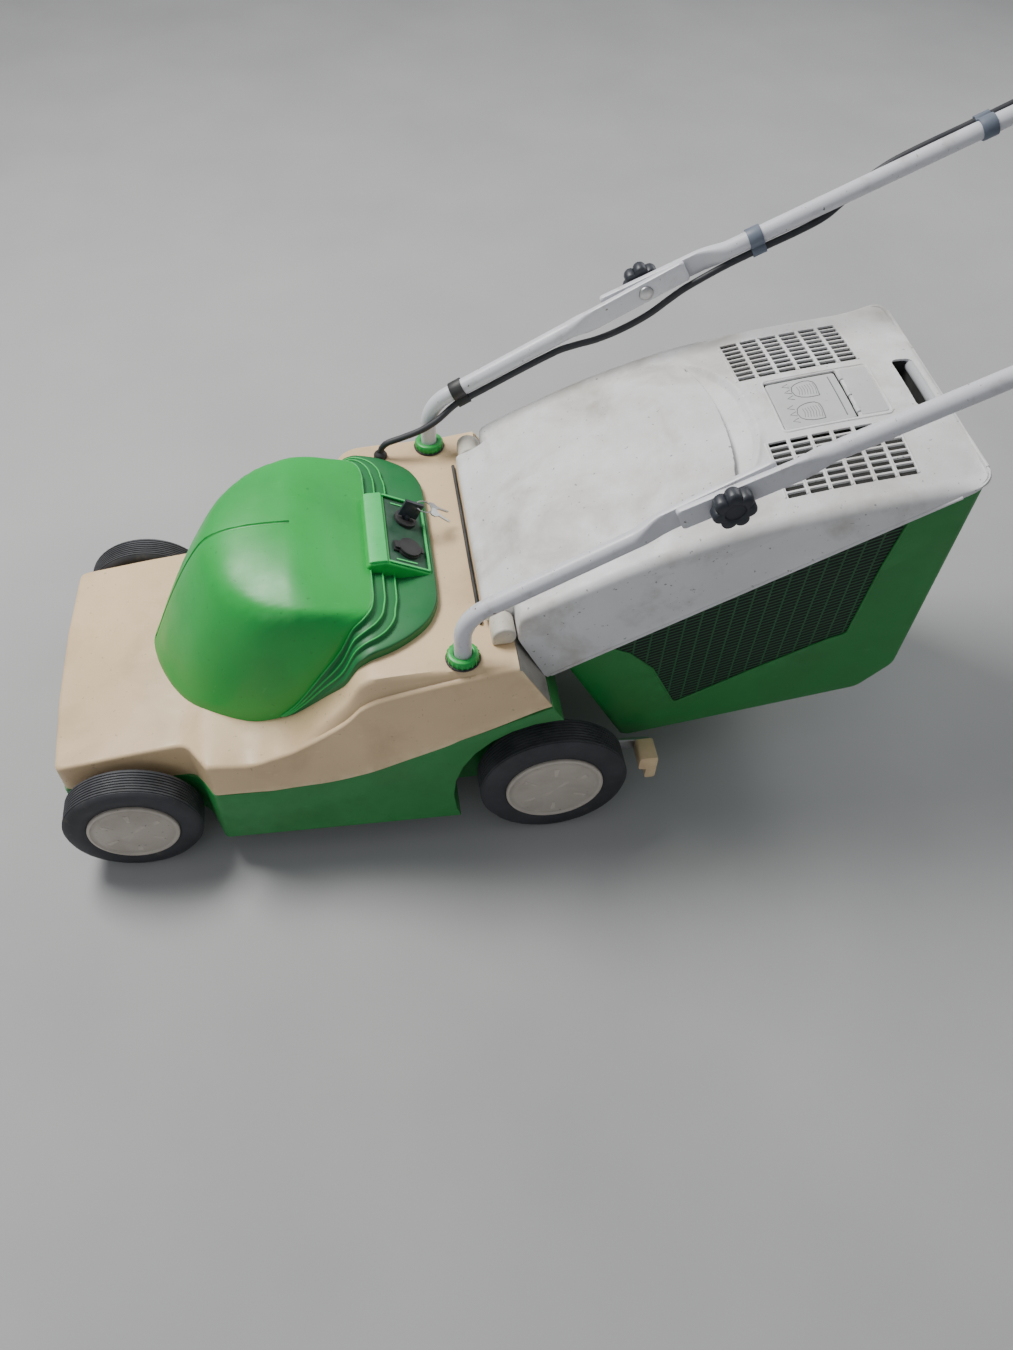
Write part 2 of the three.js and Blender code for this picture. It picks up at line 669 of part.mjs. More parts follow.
// A rod along the normal of the console's panel; along = distance down the panel from its middle.
function panelRod(along, y, radius, from, to, sides = 18) {
  const g = new THREE.CylinderGeometry(radius, radius, to - from, sides);
  g.rotateX(Math.PI / 2);
  g.translate(along, 0, (from + to) / 2);
  g.rotateY(panelTilt);
  g.translate((CONSOLE_RIDGE[0] + CONSOLE_REAR[0]) / 2, y, (CONSOLE_RIDGE[1] + CONSOLE_REAR[1]) / 2 - 5);
  return solid(g);
}
function makeConsole() {
  SIDES.forEach(([name, s]) => {
    const top = PLATFORM_H + FLANGE_T - 5 + GAP;
    const head = rodZ(SCREW_X, s * SCREW_Y, SCREW_D, top, top + 3.4, 14);
    const shank = rodZ(SCREW_X, s * SCREW_Y, SCREW_D / 2, PLATFORM_H + 4, top + 1, 12);
    const slot = box(SCREW_X - 5, SCREW_X + 5, s * SCREW_Y - 0.7, s * SCREW_Y + 0.7, top + 2, top + 4);
    piece("hood_screw_" + name, head.add(shank).subtract(slot), STEEL());
  });
  // Key lock: a barrel with a collar, and the key with its bow in its slot.
  const barrel = joined([panelRod(0, LOCK_Y, LOCK_D / 2, -30, 5), panelRod(0, LOCK_Y, LOCK_D / 2 + 3.5, 1, 6)]);
  const bore = panelRod(0, LOCK_Y, 5.2, -22, 20, 16);
  piece("key_switch", barrel.subtract(bore), BLACK());
  const bladeShape = panelRod(0, LOCK_Y, 4, -18, 12, 12);
  const bow = panelBox(-13, 13, LOCK_Y - 2.2, LOCK_Y + 2.2, 9, 34);
  const ringHole = panelRodY(6, 28, 2.6, LOCK_Y - 6, LOCK_Y + 6);
  piece("key", bladeShape.add(bow).subtract(ringHole), BLACK());
  // Charge socket with a hinged cap.
  const sleeve = joined([
    panelRod(0, CHARGE_Y, CHARGE_D / 2, -28, 2),
    panelRod(0, CHARGE_Y, CHARGE_D / 2 + 3, 1, 4),
    panelBox(-CHARGE_D / 2 - 8, -CHARGE_D / 2 + 2, CHARGE_Y - 8, CHARGE_Y + 8, 1, 4),
  ]);
  const cup = panelRod(0, CHARGE_Y, CHARGE_D / 2 - 3, -24, 10);
  const pins = [-5, 5].map((dy) => panelRod(0, CHARGE_Y + dy, 1.6, -25, -12, 8));
  piece("charge_socket", joined([sleeve.subtract(cup), ...pins]), BLACK());
  const cap = joined([
    panelRod(0, CHARGE_Y, CHARGE_D / 2 + 2, 4 + GAP, 8),
    panelBox(-CHARGE_D / 2 - 7.2, -CHARGE_D / 2 + 4, CHARGE_Y - 6, CHARGE_Y + 6, 4 + GAP, 7),
    panelBox(CHARGE_D / 2 - 1, CHARGE_D / 2 + 6, CHARGE_Y - 5, CHARGE_Y + 5, 4 + GAP, 7),
  ]);
  piece("charge_cap", cap, BLACK());
}
// A block and a cross rod in the panel's own frame: a = down the panel, h = out of the panel.
function onPanel(g) {
  g.rotateY(panelTilt);
  g.translate((CONSOLE_RIDGE[0] + CONSOLE_REAR[0]) / 2, 0, (CONSOLE_RIDGE[1] + CONSOLE_REAR[1]) / 2 - 5);
  return solid(g);
}
function panelBox(a0, a1, y0, y1, h0, h1) {
  const g = new THREE.BoxGeometry(a1 - a0, y1 - y0, h1 - h0);
  g.translate((a0 + a1) / 2, (y0 + y1) / 2, (h0 + h1) / 2);
  return onPanel(g);
}
function panelRodY(a, h, radius, y0, y1) {
  const g = new THREE.CylinderGeometry(radius, radius, y1 - y0, 12);
  g.translate(a, (y0 + y1) / 2, h);
  return onPanel(g);
}

// ---------- motor, battery and blade ----------
const motorFloor = along(PARTING_LINE, bladeX + MOTOR_D / 2) + GAP;
function makeDrive() {
  const motorTop = motorFloor + MOTOR_H;
  const can = rodZ(bladeX, 0, MOTOR_D / 2, motorFloor, motorTop, 28);
  const bore = rodZ(bladeX, 0, MOTOR_D / 2 - 14, motorFloor + 8, motorTop - 10, 24);
  const shaftHole = rodZ(bladeX, 0, SHAFT_D / 2 + RUN, motorFloor - 1, motorTop + 1, 20);
  piece("motor_can", without(can, [bore, shaftHole]), CAST());
  const rotor = joined([
    rodZ(bladeX, 0, SHAFT_D / 2, BLADE_H + BLADE_T + 0.3, motorTop + 14, 20),
    rodZ(bladeX, 0, MOTOR_D / 2 - 14 - RUN, motorFloor + 20, motorTop - 24, 24),
  ]);
  piece("motor_rotor", rotor, STEEL());
  const fanHub = rodZ(bladeX, 0, SHAFT_D / 2 + 7, motorTop + 3, motorTop + 13, 20);
  const vanes = Array.from({ length: 6 }, (_, i) => {
    const g = new THREE.BoxGeometry(42, 3, 9);
    g.translate(SHAFT_D / 2 + 26, 0, motorTop + 8);
    g.rotateZ((i * Math.PI) / 3);
    g.translate(bladeX, 0, 0);
    return solid(g);
  });
  const fanBore = rodZ(bladeX, 0, SHAFT_D / 2 + GAP, motorTop, motorTop + 20, 20);
  piece("cooling_fan", joined([fanHub, ...vanes]).subtract(fanBore), BLACK());
  const bladeTop = BLADE_H + BLADE_T;
  const carrierHub = rodZ(bladeX, 0, 24, bladeTop + GAP, motorFloor - 14, 24);
  const carrierPlate = rodZ(bladeX, 0, 42, bladeTop + GAP, bladeTop + 7, 28);
  const carrierBore = rodZ(bladeX, 0, SHAFT_D / 2 + GAP, bladeTop - 1, motorFloor, 20);
  piece("blade_carrier", carrierHub.add(carrierPlate).subtract(carrierBore), CAST());
  const half = [
    [0, BLADE_W / 2, 0],
    [BLADE_L / 2 - 70, BLADE_W / 2, 8],
    [BLADE_L / 2 - 50, BLADE_W / 2 - 6, 4],
    [BLADE_L / 2 - 3, BLADE_W / 2 - 6, 4],
    [BLADE_L / 2, BLADE_W / 2 - 12, 3],
    [BLADE_L / 2, -BLADE_W / 2, 4],
    [0, -BLADE_W / 2, 0],
  ];
  const plan = [...half.slice(0, 6), ...half.slice(1, 6).map(([x, y, r]) => [-x, -y, r])];
  const bar = raised(plan, BLADE_H, bladeTop, 2).translate([bladeX, 0, 0]);
  const wings = [1, -1].map((s) => {
    const g = new THREE.BoxGeometry(60, 14, 3.4);
    g.rotateX(0.6 * s);
    g.translate(s * (BLADE_L / 2 - 36), -s * (BLADE_W / 2 - 2), bladeTop + 2);
    g.translate(bladeX, 0, 0);
    return solid(g);
  });
  const boltHole = rodZ(bladeX, 0, SHAFT_D / 2 + GAP, BLADE_H - 5, bladeTop + 5, 20);
  piece("blade", joined([bar, ...wings]).subtract(boltHole), STEEL());
  const boltHead = rodZ(bladeX, 0, 15, BLADE_H - 12, BLADE_H - GAP, 6);
  const boltShank = rodZ(bladeX, 0, SHAFT_D / 2 - 1, BLADE_H - 1, bladeTop, 16);
  piece("blade_bolt", boltHead.add(boltShank), STEEL());
  const batteryX = bladeX + MOTOR_D / 2 + 8 + BATTERY_L / 2;
  const batteryFloor = along(PARTING_LINE, batteryX + BATTERY_L / 2) + GAP;
  const pack = box(
    batteryX - BATTERY_L / 2,
    batteryX + BATTERY_L / 2,
    -BATTERY_W / 2,
    BATTERY_W / 2,
    batteryFloor,
    batteryFloor + BATTERY_H,
  );
  const posts = [-1, 1].map((s) =>
    rodZ(batteryX, s * (BATTERY_W / 2 - 22), 6, batteryFloor + BATTERY_H - 1, batteryFloor + BATTERY_H + 9, 12),
  );
  piece("battery", joined([pack, ...posts]), BLACK());
}

// ---------- wheels, axle cranks and height lever ----------
function makeWheels() {
  const axles = [
    ["front", frontAxleX, frontWheelR, FRONT_TYRE_W, FRONT_TRACK],
    ["rear", rearAxleX, rearWheelR, REAR_TYRE_W, REAR_TRACK],
  ];
  for (const [end, x, radius, width, track] of axles) {
    const seat = radius * (1 - TYRE_SIDE);
    const out = track / 2 - CAP_PROUD; // outer side of the tyre
    for (const [side, s] of SIDES) {
      const name = end + "_" + side;
      const tyre = [
        [seat, -width],
        [radius - TREAD_R, -width],
        [radius, -width + TREAD_R],
        [radius, -TREAD_R],
        [radius - TREAD_R, 0],
        [seat, 0],
        [seat, -width],
      ];
      piece("tyre_" + name, turnedY(x, s * out, radius, tyre, s, WHEEL_SIDES), RUBBER());
      const rim = seat - GAP;
      const wheelBody = [
        [AXLE_D / 2 + 0.4, -width + 2],
        [HUB_D / 2, -width + 2],
        [HUB_D / 2, -width / 2 - WEB_T],
        [rim - RIM_T, -width / 2 - WEB_T],
        [rim - RIM_T, -width + 3],
        [rim, -width + 3],
        [rim, -CAP_T],
        [AXLE_D / 2 + 0.4, -CAP_T - 5],
        [AXLE_D / 2 + 0.4, -width + 2],
      ];
      piece("wheel_body_" + name, turnedY(x, s * out, radius, wheelBody, s, WHEEL_SIDES), WHITE());
      const cap = [
        [0, -4],
        [rim * 0.8, -CAP_T + GAP],
        [rim, -CAP_T + GAP],
        [rim, 0.4],
        [rim - 4, CAP_PROUD],
        [rim * 0.85, CAP_PROUD - 1],
        [0, CAP_PROUD],
      ];
      piece("hub_cap_" + name, turnedY(x, s * out, radius, cap, s, WHEEL_SIDES), BEIGE());
    }
  }
}
// A crank: the bar across the deck, an arm at each side and a stub for each wheel.
function crank(pivot, x, z, tyreIn, end) {
  const armOut = tyreIn - 2;
  const armIn = armOut - ARM_T;
  const parts = [rodY(pivot[0], pivot[1], AXLE_D / 2, -armOut, armOut, 16)];
  for (const [, s] of SIDES) {
    const slope = Math.atan2(z - pivot[1], x - pivot[0]);
    const length = Math.hypot(x - pivot[0], z - pivot[1]);
    const arm = drawn(
      [
        [-ARM_W / 2, -ARM_W / 2, ARM_W * 0.4],
        [length + ARM_W / 2, -ARM_W / 2, ARM_W * 0.4],
        [length + ARM_W / 2, ARM_W / 2, ARM_W * 0.4],
        [-ARM_W / 2, ARM_W / 2, ARM_W * 0.4],
      ],
      Math.min(s * armIn, s * armOut),
      Math.max(s * armIn, s * armOut),
      3,
    );
    parts.push(arm.rotate([0, -THREE.MathUtils.radToDeg(slope), 0]).translate([pivot[0], 0, pivot[1]]));
    parts.push(rodY(x, z, AXLE_D / 2, s * armIn, s * end, 16));
  }
  return joined(parts);
}
// A wheel's stub ends just inside its hub cap.
const stubEnd = (track) => track / 2 - CAP_PROUD - CAP_T - 3;
function makeAxles() {
  piece("front_axle", crank(frontPivot, frontAxleX, frontWheelR, frontTyreIn, stubEnd(FRONT_TRACK)), STEEL());
  piece("rear_axle", crank(rearPivot, rearAxleX, rearWheelR, rearTyreIn, stubEnd(REAR_TRACK)), STEEL());
  // The lever is bolted on the left arm's root, runs back beside the wheel and turns outwards at its grip.
  const y0 = -(rearTyreIn - 2 - ARM_T - GAP);
  const y1 = y0 + 5;
  const gripX = rearPivot[0] + LEVER_REACH;
  const blade = drawn(
    [
      [rearPivot[0] - 13, rearPivot[1] - 12, 8],
      [gripX + 12, rearPivot[1] - 22, 8],
      [gripX + 12, rearPivot[1] - 2, 8],
      [rearPivot[0] + 30, rearPivot[1] + 14, 8],
      [rearPivot[0] - 13, rearPivot[1] + 14, 8],
    ],
    y0,
    y1,
    3,
  );
  const barHole = rodY(rearPivot[0], rearPivot[1], AXLE_D / 2 + GAP, y0 - 1, y1 + 1, 16);
  piece("height_lever", blade.subtract(barHole), STEEL());
  const knob = [
    drawn(
      [
        [gripX - 12, rearPivot[1] - 24, 5],
        [gripX + 14, rearPivot[1] - 24, 5],
        [gripX + 14, rearPivot[1] + 2, 5],
        [gripX - 12, rearPivot[1] + 2, 5],
      ],
      y0 - LEVER_GRIP_OUT,
      y0 - GAP,
      3,
    ),
    drawn(
      [
        [gripX - 1, rearPivot[1] - 46, 4],
        [gripX + 14, rearPivot[1] - 46, 4],
        [gripX + 14, rearPivot[1] - 20, 3],
        [gripX - 1, rearPivot[1] - 20, 3],
      ],
      y0 - LEVER_GRIP_OUT,
      y0 - LEVER_GRIP_OUT + 20,
      3,
    ),
  ];
  piece("height_lever_grip", joined(knob), BEIGE());
}

// ---------- handle ----------
const lowerDir = [Math.cos(radians(LOWER_SLOPE)), Math.sin(radians(LOWER_SLOPE))];
const upperDir = [Math.cos(radians(UPPER_SLOPE)), Math.sin(radians(UPPER_SLOPE))];
const bendTurn = 90 - LOWER_SLOPE;
const bendTopZ = PLATFORM_H + LOWER_RISE;
// After the bend the tube has moved this far back and up.
const bendBack = BEND_R * (1 - Math.cos(radians(bendTurn)));
const bendUp = BEND_R * Math.sin(radians(bendTurn));
const straightRun = (PIVOT_REACH - bendBack) / lowerDir[0];
const pivotZ = bendTopZ + bendUp + straightRun * lowerDir[1];
// A point at a distance along the upper handle from the pivot, and off it at a right angle.
const offPivot = (dir, s, y, off) => [
  pivotX + dir[0] * s - dir[1] * off,
  y,
  pivotZ + dir[1] * s + dir[0] * off,
];
const upperAt = (s, y, off = 0) => offPivot(upperDir, s, y, off);
const lowerAt = (s, y, off = 0) => offPivot(lowerDir, s, y, off);
// A crushed tube end: a flat bar round the pivot, from -reach to reach along the tube.
function crushedEnd(slope, y0, y1, from, to, fillet = 9) {
  const bar = drawn(
    [
      [from, -FLAT_W / 2, fillet],
      [to, -FLAT_W / 2, fillet],
      [to, FLAT_W / 2, fillet],
      [from, FLAT_W / 2, fillet],
    ],
    y0,
    y1,
    3,
  );
  return bar.rotate([0, -slope, 0]).translate([pivotX, 0, pivotZ]);
}
function makeHandle() {
  for (const [name, s] of SIDES) {
    const y = s * tubeY;
    const collar = rodZ(socketX, y, FERRULE_D / 2, PLATFORM_H - 16, PLATFORM_H + 12, 18);
    const lip = rodZ(socketX, y, FERRULE_D / 2 + 1.2, PLATFORM_H + 8, PLATFORM_H + 14, 18);
    const bore = rodZ(socketX, y, TUBE_D / 2 + GAP, PLATFORM_H - 20, PLATFORM_H + 20, 14);
    piece("ferrule_" + name, collar.add(lip).subtract(bore), GREEN());

    const bend = arc([socketX + BEND_R, y, bendTopZ], [-1, 0, 0], [0, 0, 1], BEND_R, 0, bendTurn, 6);
    const flatStart = -FLAT_REACH - 8;
    const route = [[socketX, y, PLATFORM_H - SOCKET_DEPTH], ...bend, lowerAt(flatStart + 14, y)];
    const inner = Math.min(s * (tubeY - FLAT_T), s * (tubeY - GAP));
    const flat = crushedEnd(LOWER_SLOPE, inner, inner + FLAT_T - GAP, flatStart, FLAT_REACH);
    const keep = s > 0 ? [tubeY - 40, tubeY - GAP] : [-tubeY + GAP, -tubeY + 40];
    // The round tube is pressed flat on the side of the other tube, past the start of the crushed part.
    const press = crushedEnd(LOWER_SLOPE, s > 0 ? tubeY - GAP : -tubeY - 40, s > 0 ? tubeY + 40 : -tubeY + GAP,
      flatStart, FLAT_REACH + 60, 0);
    const boltHole = rodY(pivotX, pivotZ, BOLT_D / 2 + GAP, keep[0] - 20, keep[1] + 20, 14);
    const lower = joined([tube(route, TUBE_D, 14).subtract(press), flat]).subtract(boltHole);
    piece("lower_tube_" + name, lower, TUBE_WHITE());

    const headIn = tubeY - FLAT_T - GAP;
    const bolt = [
      rodY(pivotX, pivotZ, BOLT_D / 2, s * (headIn - 1), s * (tubeY + FLAT_T + KNOB_T - 4), 14),
      turnedY(pivotX, s * headIn, pivotZ, [[0, 0], [10, 0], [9.2, -1.8], [6, -3.2], [0, -4]], s, 16),
    ];
    piece("clamp_bolt_" + name, joined(bolt), STEEL());

    const k0 = tubeY + FLAT_T + 1.6;
    const lobes = Array.from({ length: 7 }, (_, i) => {
      const a = (2 * Math.PI * i) / 7;
      const r = KNOB_D / 2 - 6;
      return rodY(pivotX + r * Math.cos(a), pivotZ + r * Math.sin(a), 6.4, s * k0, s * (k0 + KNOB_T), 8);
    });
    const body = rodY(pivotX, pivotZ, KNOB_D / 2 - 4, s * k0, s * (k0 + KNOB_T), 14);
    const boss = rodY(pivotX, pivotZ, 9, s * (k0 - 1.2), s * (k0 + 1), 16);
    const thread = rodY(pivotX, pivotZ, BOLT_D / 2 + GAP, s * (k0 - 4), s * (k0 + KNOB_T - 4), 14);
    piece("star_knob_" + name, joined([body, boss, ...lobes]).subtract(thread), BLACK());
  }
  // Upper handle: one bent tube from pivot to pivot round the grip bar.
  const top = UPPER_LENGTH - CORNER_R;
  const corner = (s) =>
    arc(upperAt(top, s * (tubeY - CORNER_R)), [0, s, 0], [upperDir[0], 0, upperDir[1]], CORNER_R, 0, 90, 5);
  const start = FLAT_REACH + 3;
  const route = [upperAt(start, -tubeY), ...corner(-1), ...corner(1).reverse(), upperAt(start, tubeY)];
  const flats = SIDES.map(([, s]) => {
    const inner = Math.min(s * (tubeY + GAP), s * (tubeY + FLAT_T));
    return crushedEnd(UPPER_SLOPE, inner, inner + FLAT_T - GAP, -FLAT_REACH, FLAT_REACH + 18);
  });
  const boltHoles = SIDES.map(([, s]) => {
    return rodY(pivotX, pivotZ, BOLT_D / 2 + GAP, s * (tubeY - 20), s * (tubeY + 20), 14);
  });
  piece("upper_handle", without(joined([tube(route, TUBE_D, 14), ...flats]), boltHoles), TUBE_WHITE());
}

// ---------- catcher ----------
const CATCHER_TOP = [
  // height of the lid along its middle, from its front edge
  [0, LID_FRONT_H],
  [60, LID_FRONT_H + 42],
  [130, LID_FRONT_H + 84],
  [200, LID_FRONT_H + 115],
  [300, LID_FRONT_H + 148],
  [400, LID_FRONT_H + 168],
  [500, LID_FRONT_H + 181],
  [560, LID_FRONT_H + 187],
  [LID_L, LID_FRONT_H + 183],
];
const LID_CROWN = 16; // the middle stands this much above the sides
const lidTop = (x, y) => {
  const middle = along(CATCHER_TOP, x - lidFrontX);
  const swell = THREE.MathUtils.clamp((x - lidFrontX) / 120, 0, 1);
  return middle - LID_CROWN * swell * (y / lidHalf) ** 2;
};
const LID_XS = [-20, ...CATCHER_TOP.map(([x]) => x), LID_L + 20].map((x) => x + lidFrontX);
const LID_YS = [-lidHalf - 20, -lidHalf, -130, -65, 0, 65, 130, lidHalf, lidHalf + 20];
const lidRoof = (lowered) => relief(LID_XS, LID_YS, (x, y) => lidTop(x, y) - lowered, () => 0);
// The seam between the lid and the bag runs up to the rear.
const SEAM_FRONT = [deckRearX + 47, 268];
const SEAM_REAR = [lidRearX, 538];
const seamSlope = (SEAM_REAR[1] - SEAM_FRONT[1]) / (SEAM_REAR[0] - SEAM_FRONT[0]);
const seamAt = (x) => SEAM_FRONT[1] + (x - SEAM_FRONT[0]) * seamSlope;
const bagHalf = lidHalf - BAG_INSET;
const bagRearX = lidRearX - BAG_REAR_INSET;
const bossX = deckRearX - 13;
const bossZ = PLATFORM_H + 15;
const BOSS_D = 30;
const TONGUE_LOW = bossZ - 4; // lower edge of the lid ahead of its hinge, clear of the deck when the lid is up
const bagFrontX = rearAxleX + rearWheelR + 10;
const FLAP_X0 = lidFrontX + 381;
const FLAP_X1 = lidFrontX + 470;
const FLAP_HALF = 46;
const SLOT_X = [lidRearX - 24, lidRearX - 46];
const SLOT_HALF = 52;
function makeCatcher() {
  const plan = (inset) => [
    [lidFrontX + inset, -lidHalf + inset, 8],
    [lidRearX - inset, -lidHalf + inset, 26],
    [lidRearX - inset, lidHalf - inset, 26],
    [lidFrontX + inset, lidHalf - inset, 8],
  ];
  const shell = (inset) => raised(plan(inset), 0, 700, 4).intersect(lidRoof(inset));
  // Everything above the seam; over the deck it stays above the platform.
  const aboveSeam = (offset) =>
    drawn(
      [
        [lidFrontX - 30, TONGUE_LOW + offset],
        [deckRearX + 3, TONGUE_LOW + offset],
        [SEAM_FRONT[0] - 4, seamAt(SEAM_FRONT[0]) + offset],
        [lidRearX + 40, seamAt(lidRearX + 40) + offset],
        [lidRearX + 40, 800],
        [lidFrontX - 30, 800],
      ],
      -320,
      320,
    );
  // The front corners are cut away round the hinge bosses.
  const notches = SIDES.map(([, s]) => {
    const [y0, y1] = [s * (lidHalf - 34), s * 320].sort((a, b) => a - b);
    return box(lidFrontX - 20, bossX + BOSS_D / 2 + RUN, y0, y1, 300, 420);
  });
  const slot = box(SLOT_X[1], SLOT_X[0], -SLOT_HALF, SLOT_HALF, 480, 640);
  const flapWindow = box(FLAP_X0, FLAP_X1, -FLAP_HALF, FLAP_HALF, 450, 640);
  const grilles = [];
  for (const [, s] of SIDES) {
    for (let i = 0; i < 4; i++) {
      const x = lidFrontX + 376 + i * 33;
      const [y0, y1] = [s * 70, s * (lidHalf - 37)].sort((a, b) => a - b);
      grilles.push(box(x, x + 9, y0, y1, 400, 640));
    }
  }
  // The carry slot has its own walls, so that a hand goes through the lid's rear edge.
  const lid = shell(0).subtract(shell(LID_WALL)).intersect(aboveSeam(0));
  const ledge = drawn(
    [
      [FLAP_X0 - 6, lidTop(FLAP_X0, 0) - LID_WALL - 4],
      [FLAP_X0 + 5, lidTop(FLAP_X0, 0) - LID_WALL - 4],
      [FLAP_X0 + 5, lidTop(FLAP_X0, 0) - LID_WALL - 1],
      [FLAP_X0 - 6, lidTop(FLAP_X0, 0) - 1],
    ],
    -FLAP_HALF,
    FLAP_HALF,
  );
  const open = [slot, flapWindow, ...notches, ...grilles];
  piece("catcher_lid", without(joined([lid, ledge.intersect(shell(0.5))]), open), WHITE());

  // The bag: a stiff tub with a sloping front, closed by the lid.
  const side = (inset) => [
    [bagFrontX - 96 + inset * 1.3, seamAt(bagFrontX - 96) - GAP + 0.5 * inset, 4],
    [bagFrontX + inset, BAG_FLOOR_H + inset, 14],
    [bagRearX - 40 - inset, BAG_FLOOR_H + 54 + inset, 20],
    [bagRearX - inset, BAG_FLOOR_H + 100 + inset, 20],
    [bagRearX - inset, seamAt(bagRearX) - GAP + 0.5 * inset, 4],
  ];
  const upTo = (offset) => aboveSeam(-GAP - offset);
  const outer = drawn(side(0), -bagHalf, bagHalf, 4).subtract(upTo(0));
  const hollow = drawn(
    [
      [bagFrontX - 96 + 4, 900, 0],
      [bagFrontX - 96 + 4, seamAt(bagFrontX - 96) - 6, 0],
      ...side(BAG_WALL).slice(1, 4),
      [bagRearX - BAG_WALL, 900, 0],
    ],
    -bagHalf + BAG_WALL,
    bagHalf - BAG_WALL,
    4,
  );
  // Grass comes in through the upper part of the sloping front.
  const mouth = box(bagFrontX - 150, bagFrontX - 20, -CHUTE_W / 2, CHUTE_W / 2, 175, 500);
  const taper = (v) => {
    const drop = Math.max(0, seamAt(v[0]) - v[2]);
    v[1] *= 1 - (drop * BAG_TAPER) / bagHalf;
  };
  piece("catcher_bag", without(outer, [hollow, mouth]).warp(taper), GREEN());

  // Level flap in the lid, hinged at its rear edge.
  const flapZ = lidTop((FLAP_X0 + FLAP_X1) / 2, 0) - 2.2;
  const slopeZ = (lidTop(FLAP_X1, 0) - lidTop(FLAP_X0, 0)) / (FLAP_X1 - FLAP_X0);
  const flapAt = (x, dz) => [x, flapZ + (x - (FLAP_X0 + FLAP_X1) / 2) * slopeZ + dz];
  const flap = drawn(
    [
      [...flapAt(FLAP_X0 + 1.5, -1.2), 0],
      [...flapAt(FLAP_X1 - 5, -1.2), 0],
      [...flapAt(FLAP_X1 - 5, 1.2), 0],
      [...flapAt(FLAP_X0 + 1.5, 1.2), 0],
    ],
    1.5 - FLAP_HALF,
    FLAP_HALF - 1.5,
  );
  const [hingeX, hingeZ] = flapAt(FLAP_X1 - 4.5, 0);
  const pin = rodY(hingeX, hingeZ, 2.4, 1 - FLAP_HALF, FLAP_HALF - 1, 12);
  piece("level_flap", flap.add(pin), WHITE());

  // Hinge bosses on the deck, which carry the catcher.
  for (const [name, s] of SIDES) {
    const y0 = lidHalf - 34 + RUN;
    const y1 = lidHalf + 1;
    const boss = rodY(bossX, bossZ, BOSS_D / 2, s * y0, s * y1, 20);
    const foot = box(bossX - BOSS_D / 2, bossX + 9, Math.min(s * y0, s * y1), Math.max(s * y0, s * y1),
      PLATFORM_H, bossZ);
    piece("hinge_boss_" + name, boss.add(foot).subtract(deckRoof(-GAP)), WHITE());
  }
}

// ---------- grip end ----------
const SWITCH_AT = 640; // switch box, along the upper handle from the pivot
const SWITCH_L = 96;
const SWITCH_IN = 62; // how far the box reaches in from the tube
const BAIL_AT = 690; // bail's hinge
const BAIL_D = 9;
const BAIL_REACH = 120;
const BAIL_OFF = 30; // bail's hinge above the handle's plane
const BAIL_OPEN = 28; // degrees between the released bail and the handle's plane
const BUTTON_D = 20;
function handleBox(s0, s1, y0, y1, off0, off1, fillet = 0) {
  const bar = drawn(
    [
      [s0, off0, fillet],
      [s1, off0, fillet],
      [s1, off1, fillet],
      [s0, off1, fillet],
    ],
    Math.min(y0, y1),
    Math.max(y0, y1),
    3,
  );
  return bar.rotate([0, -UPPER_SLOPE, 0]).translate([pivotX, 0, pivotZ]);
}
function handleRod(s0, y, off, radius, off1, sides = 14) {
  return tube([upperAt(s0, y, off), upperAt(s0, y, off1)], radius * 2, sides);
}
function rodAcross(s, off, radius, y0, y1) {
  return tube([upperAt(s, y0, off), upperAt(s, y1, off)], radius * 2, 14);
}
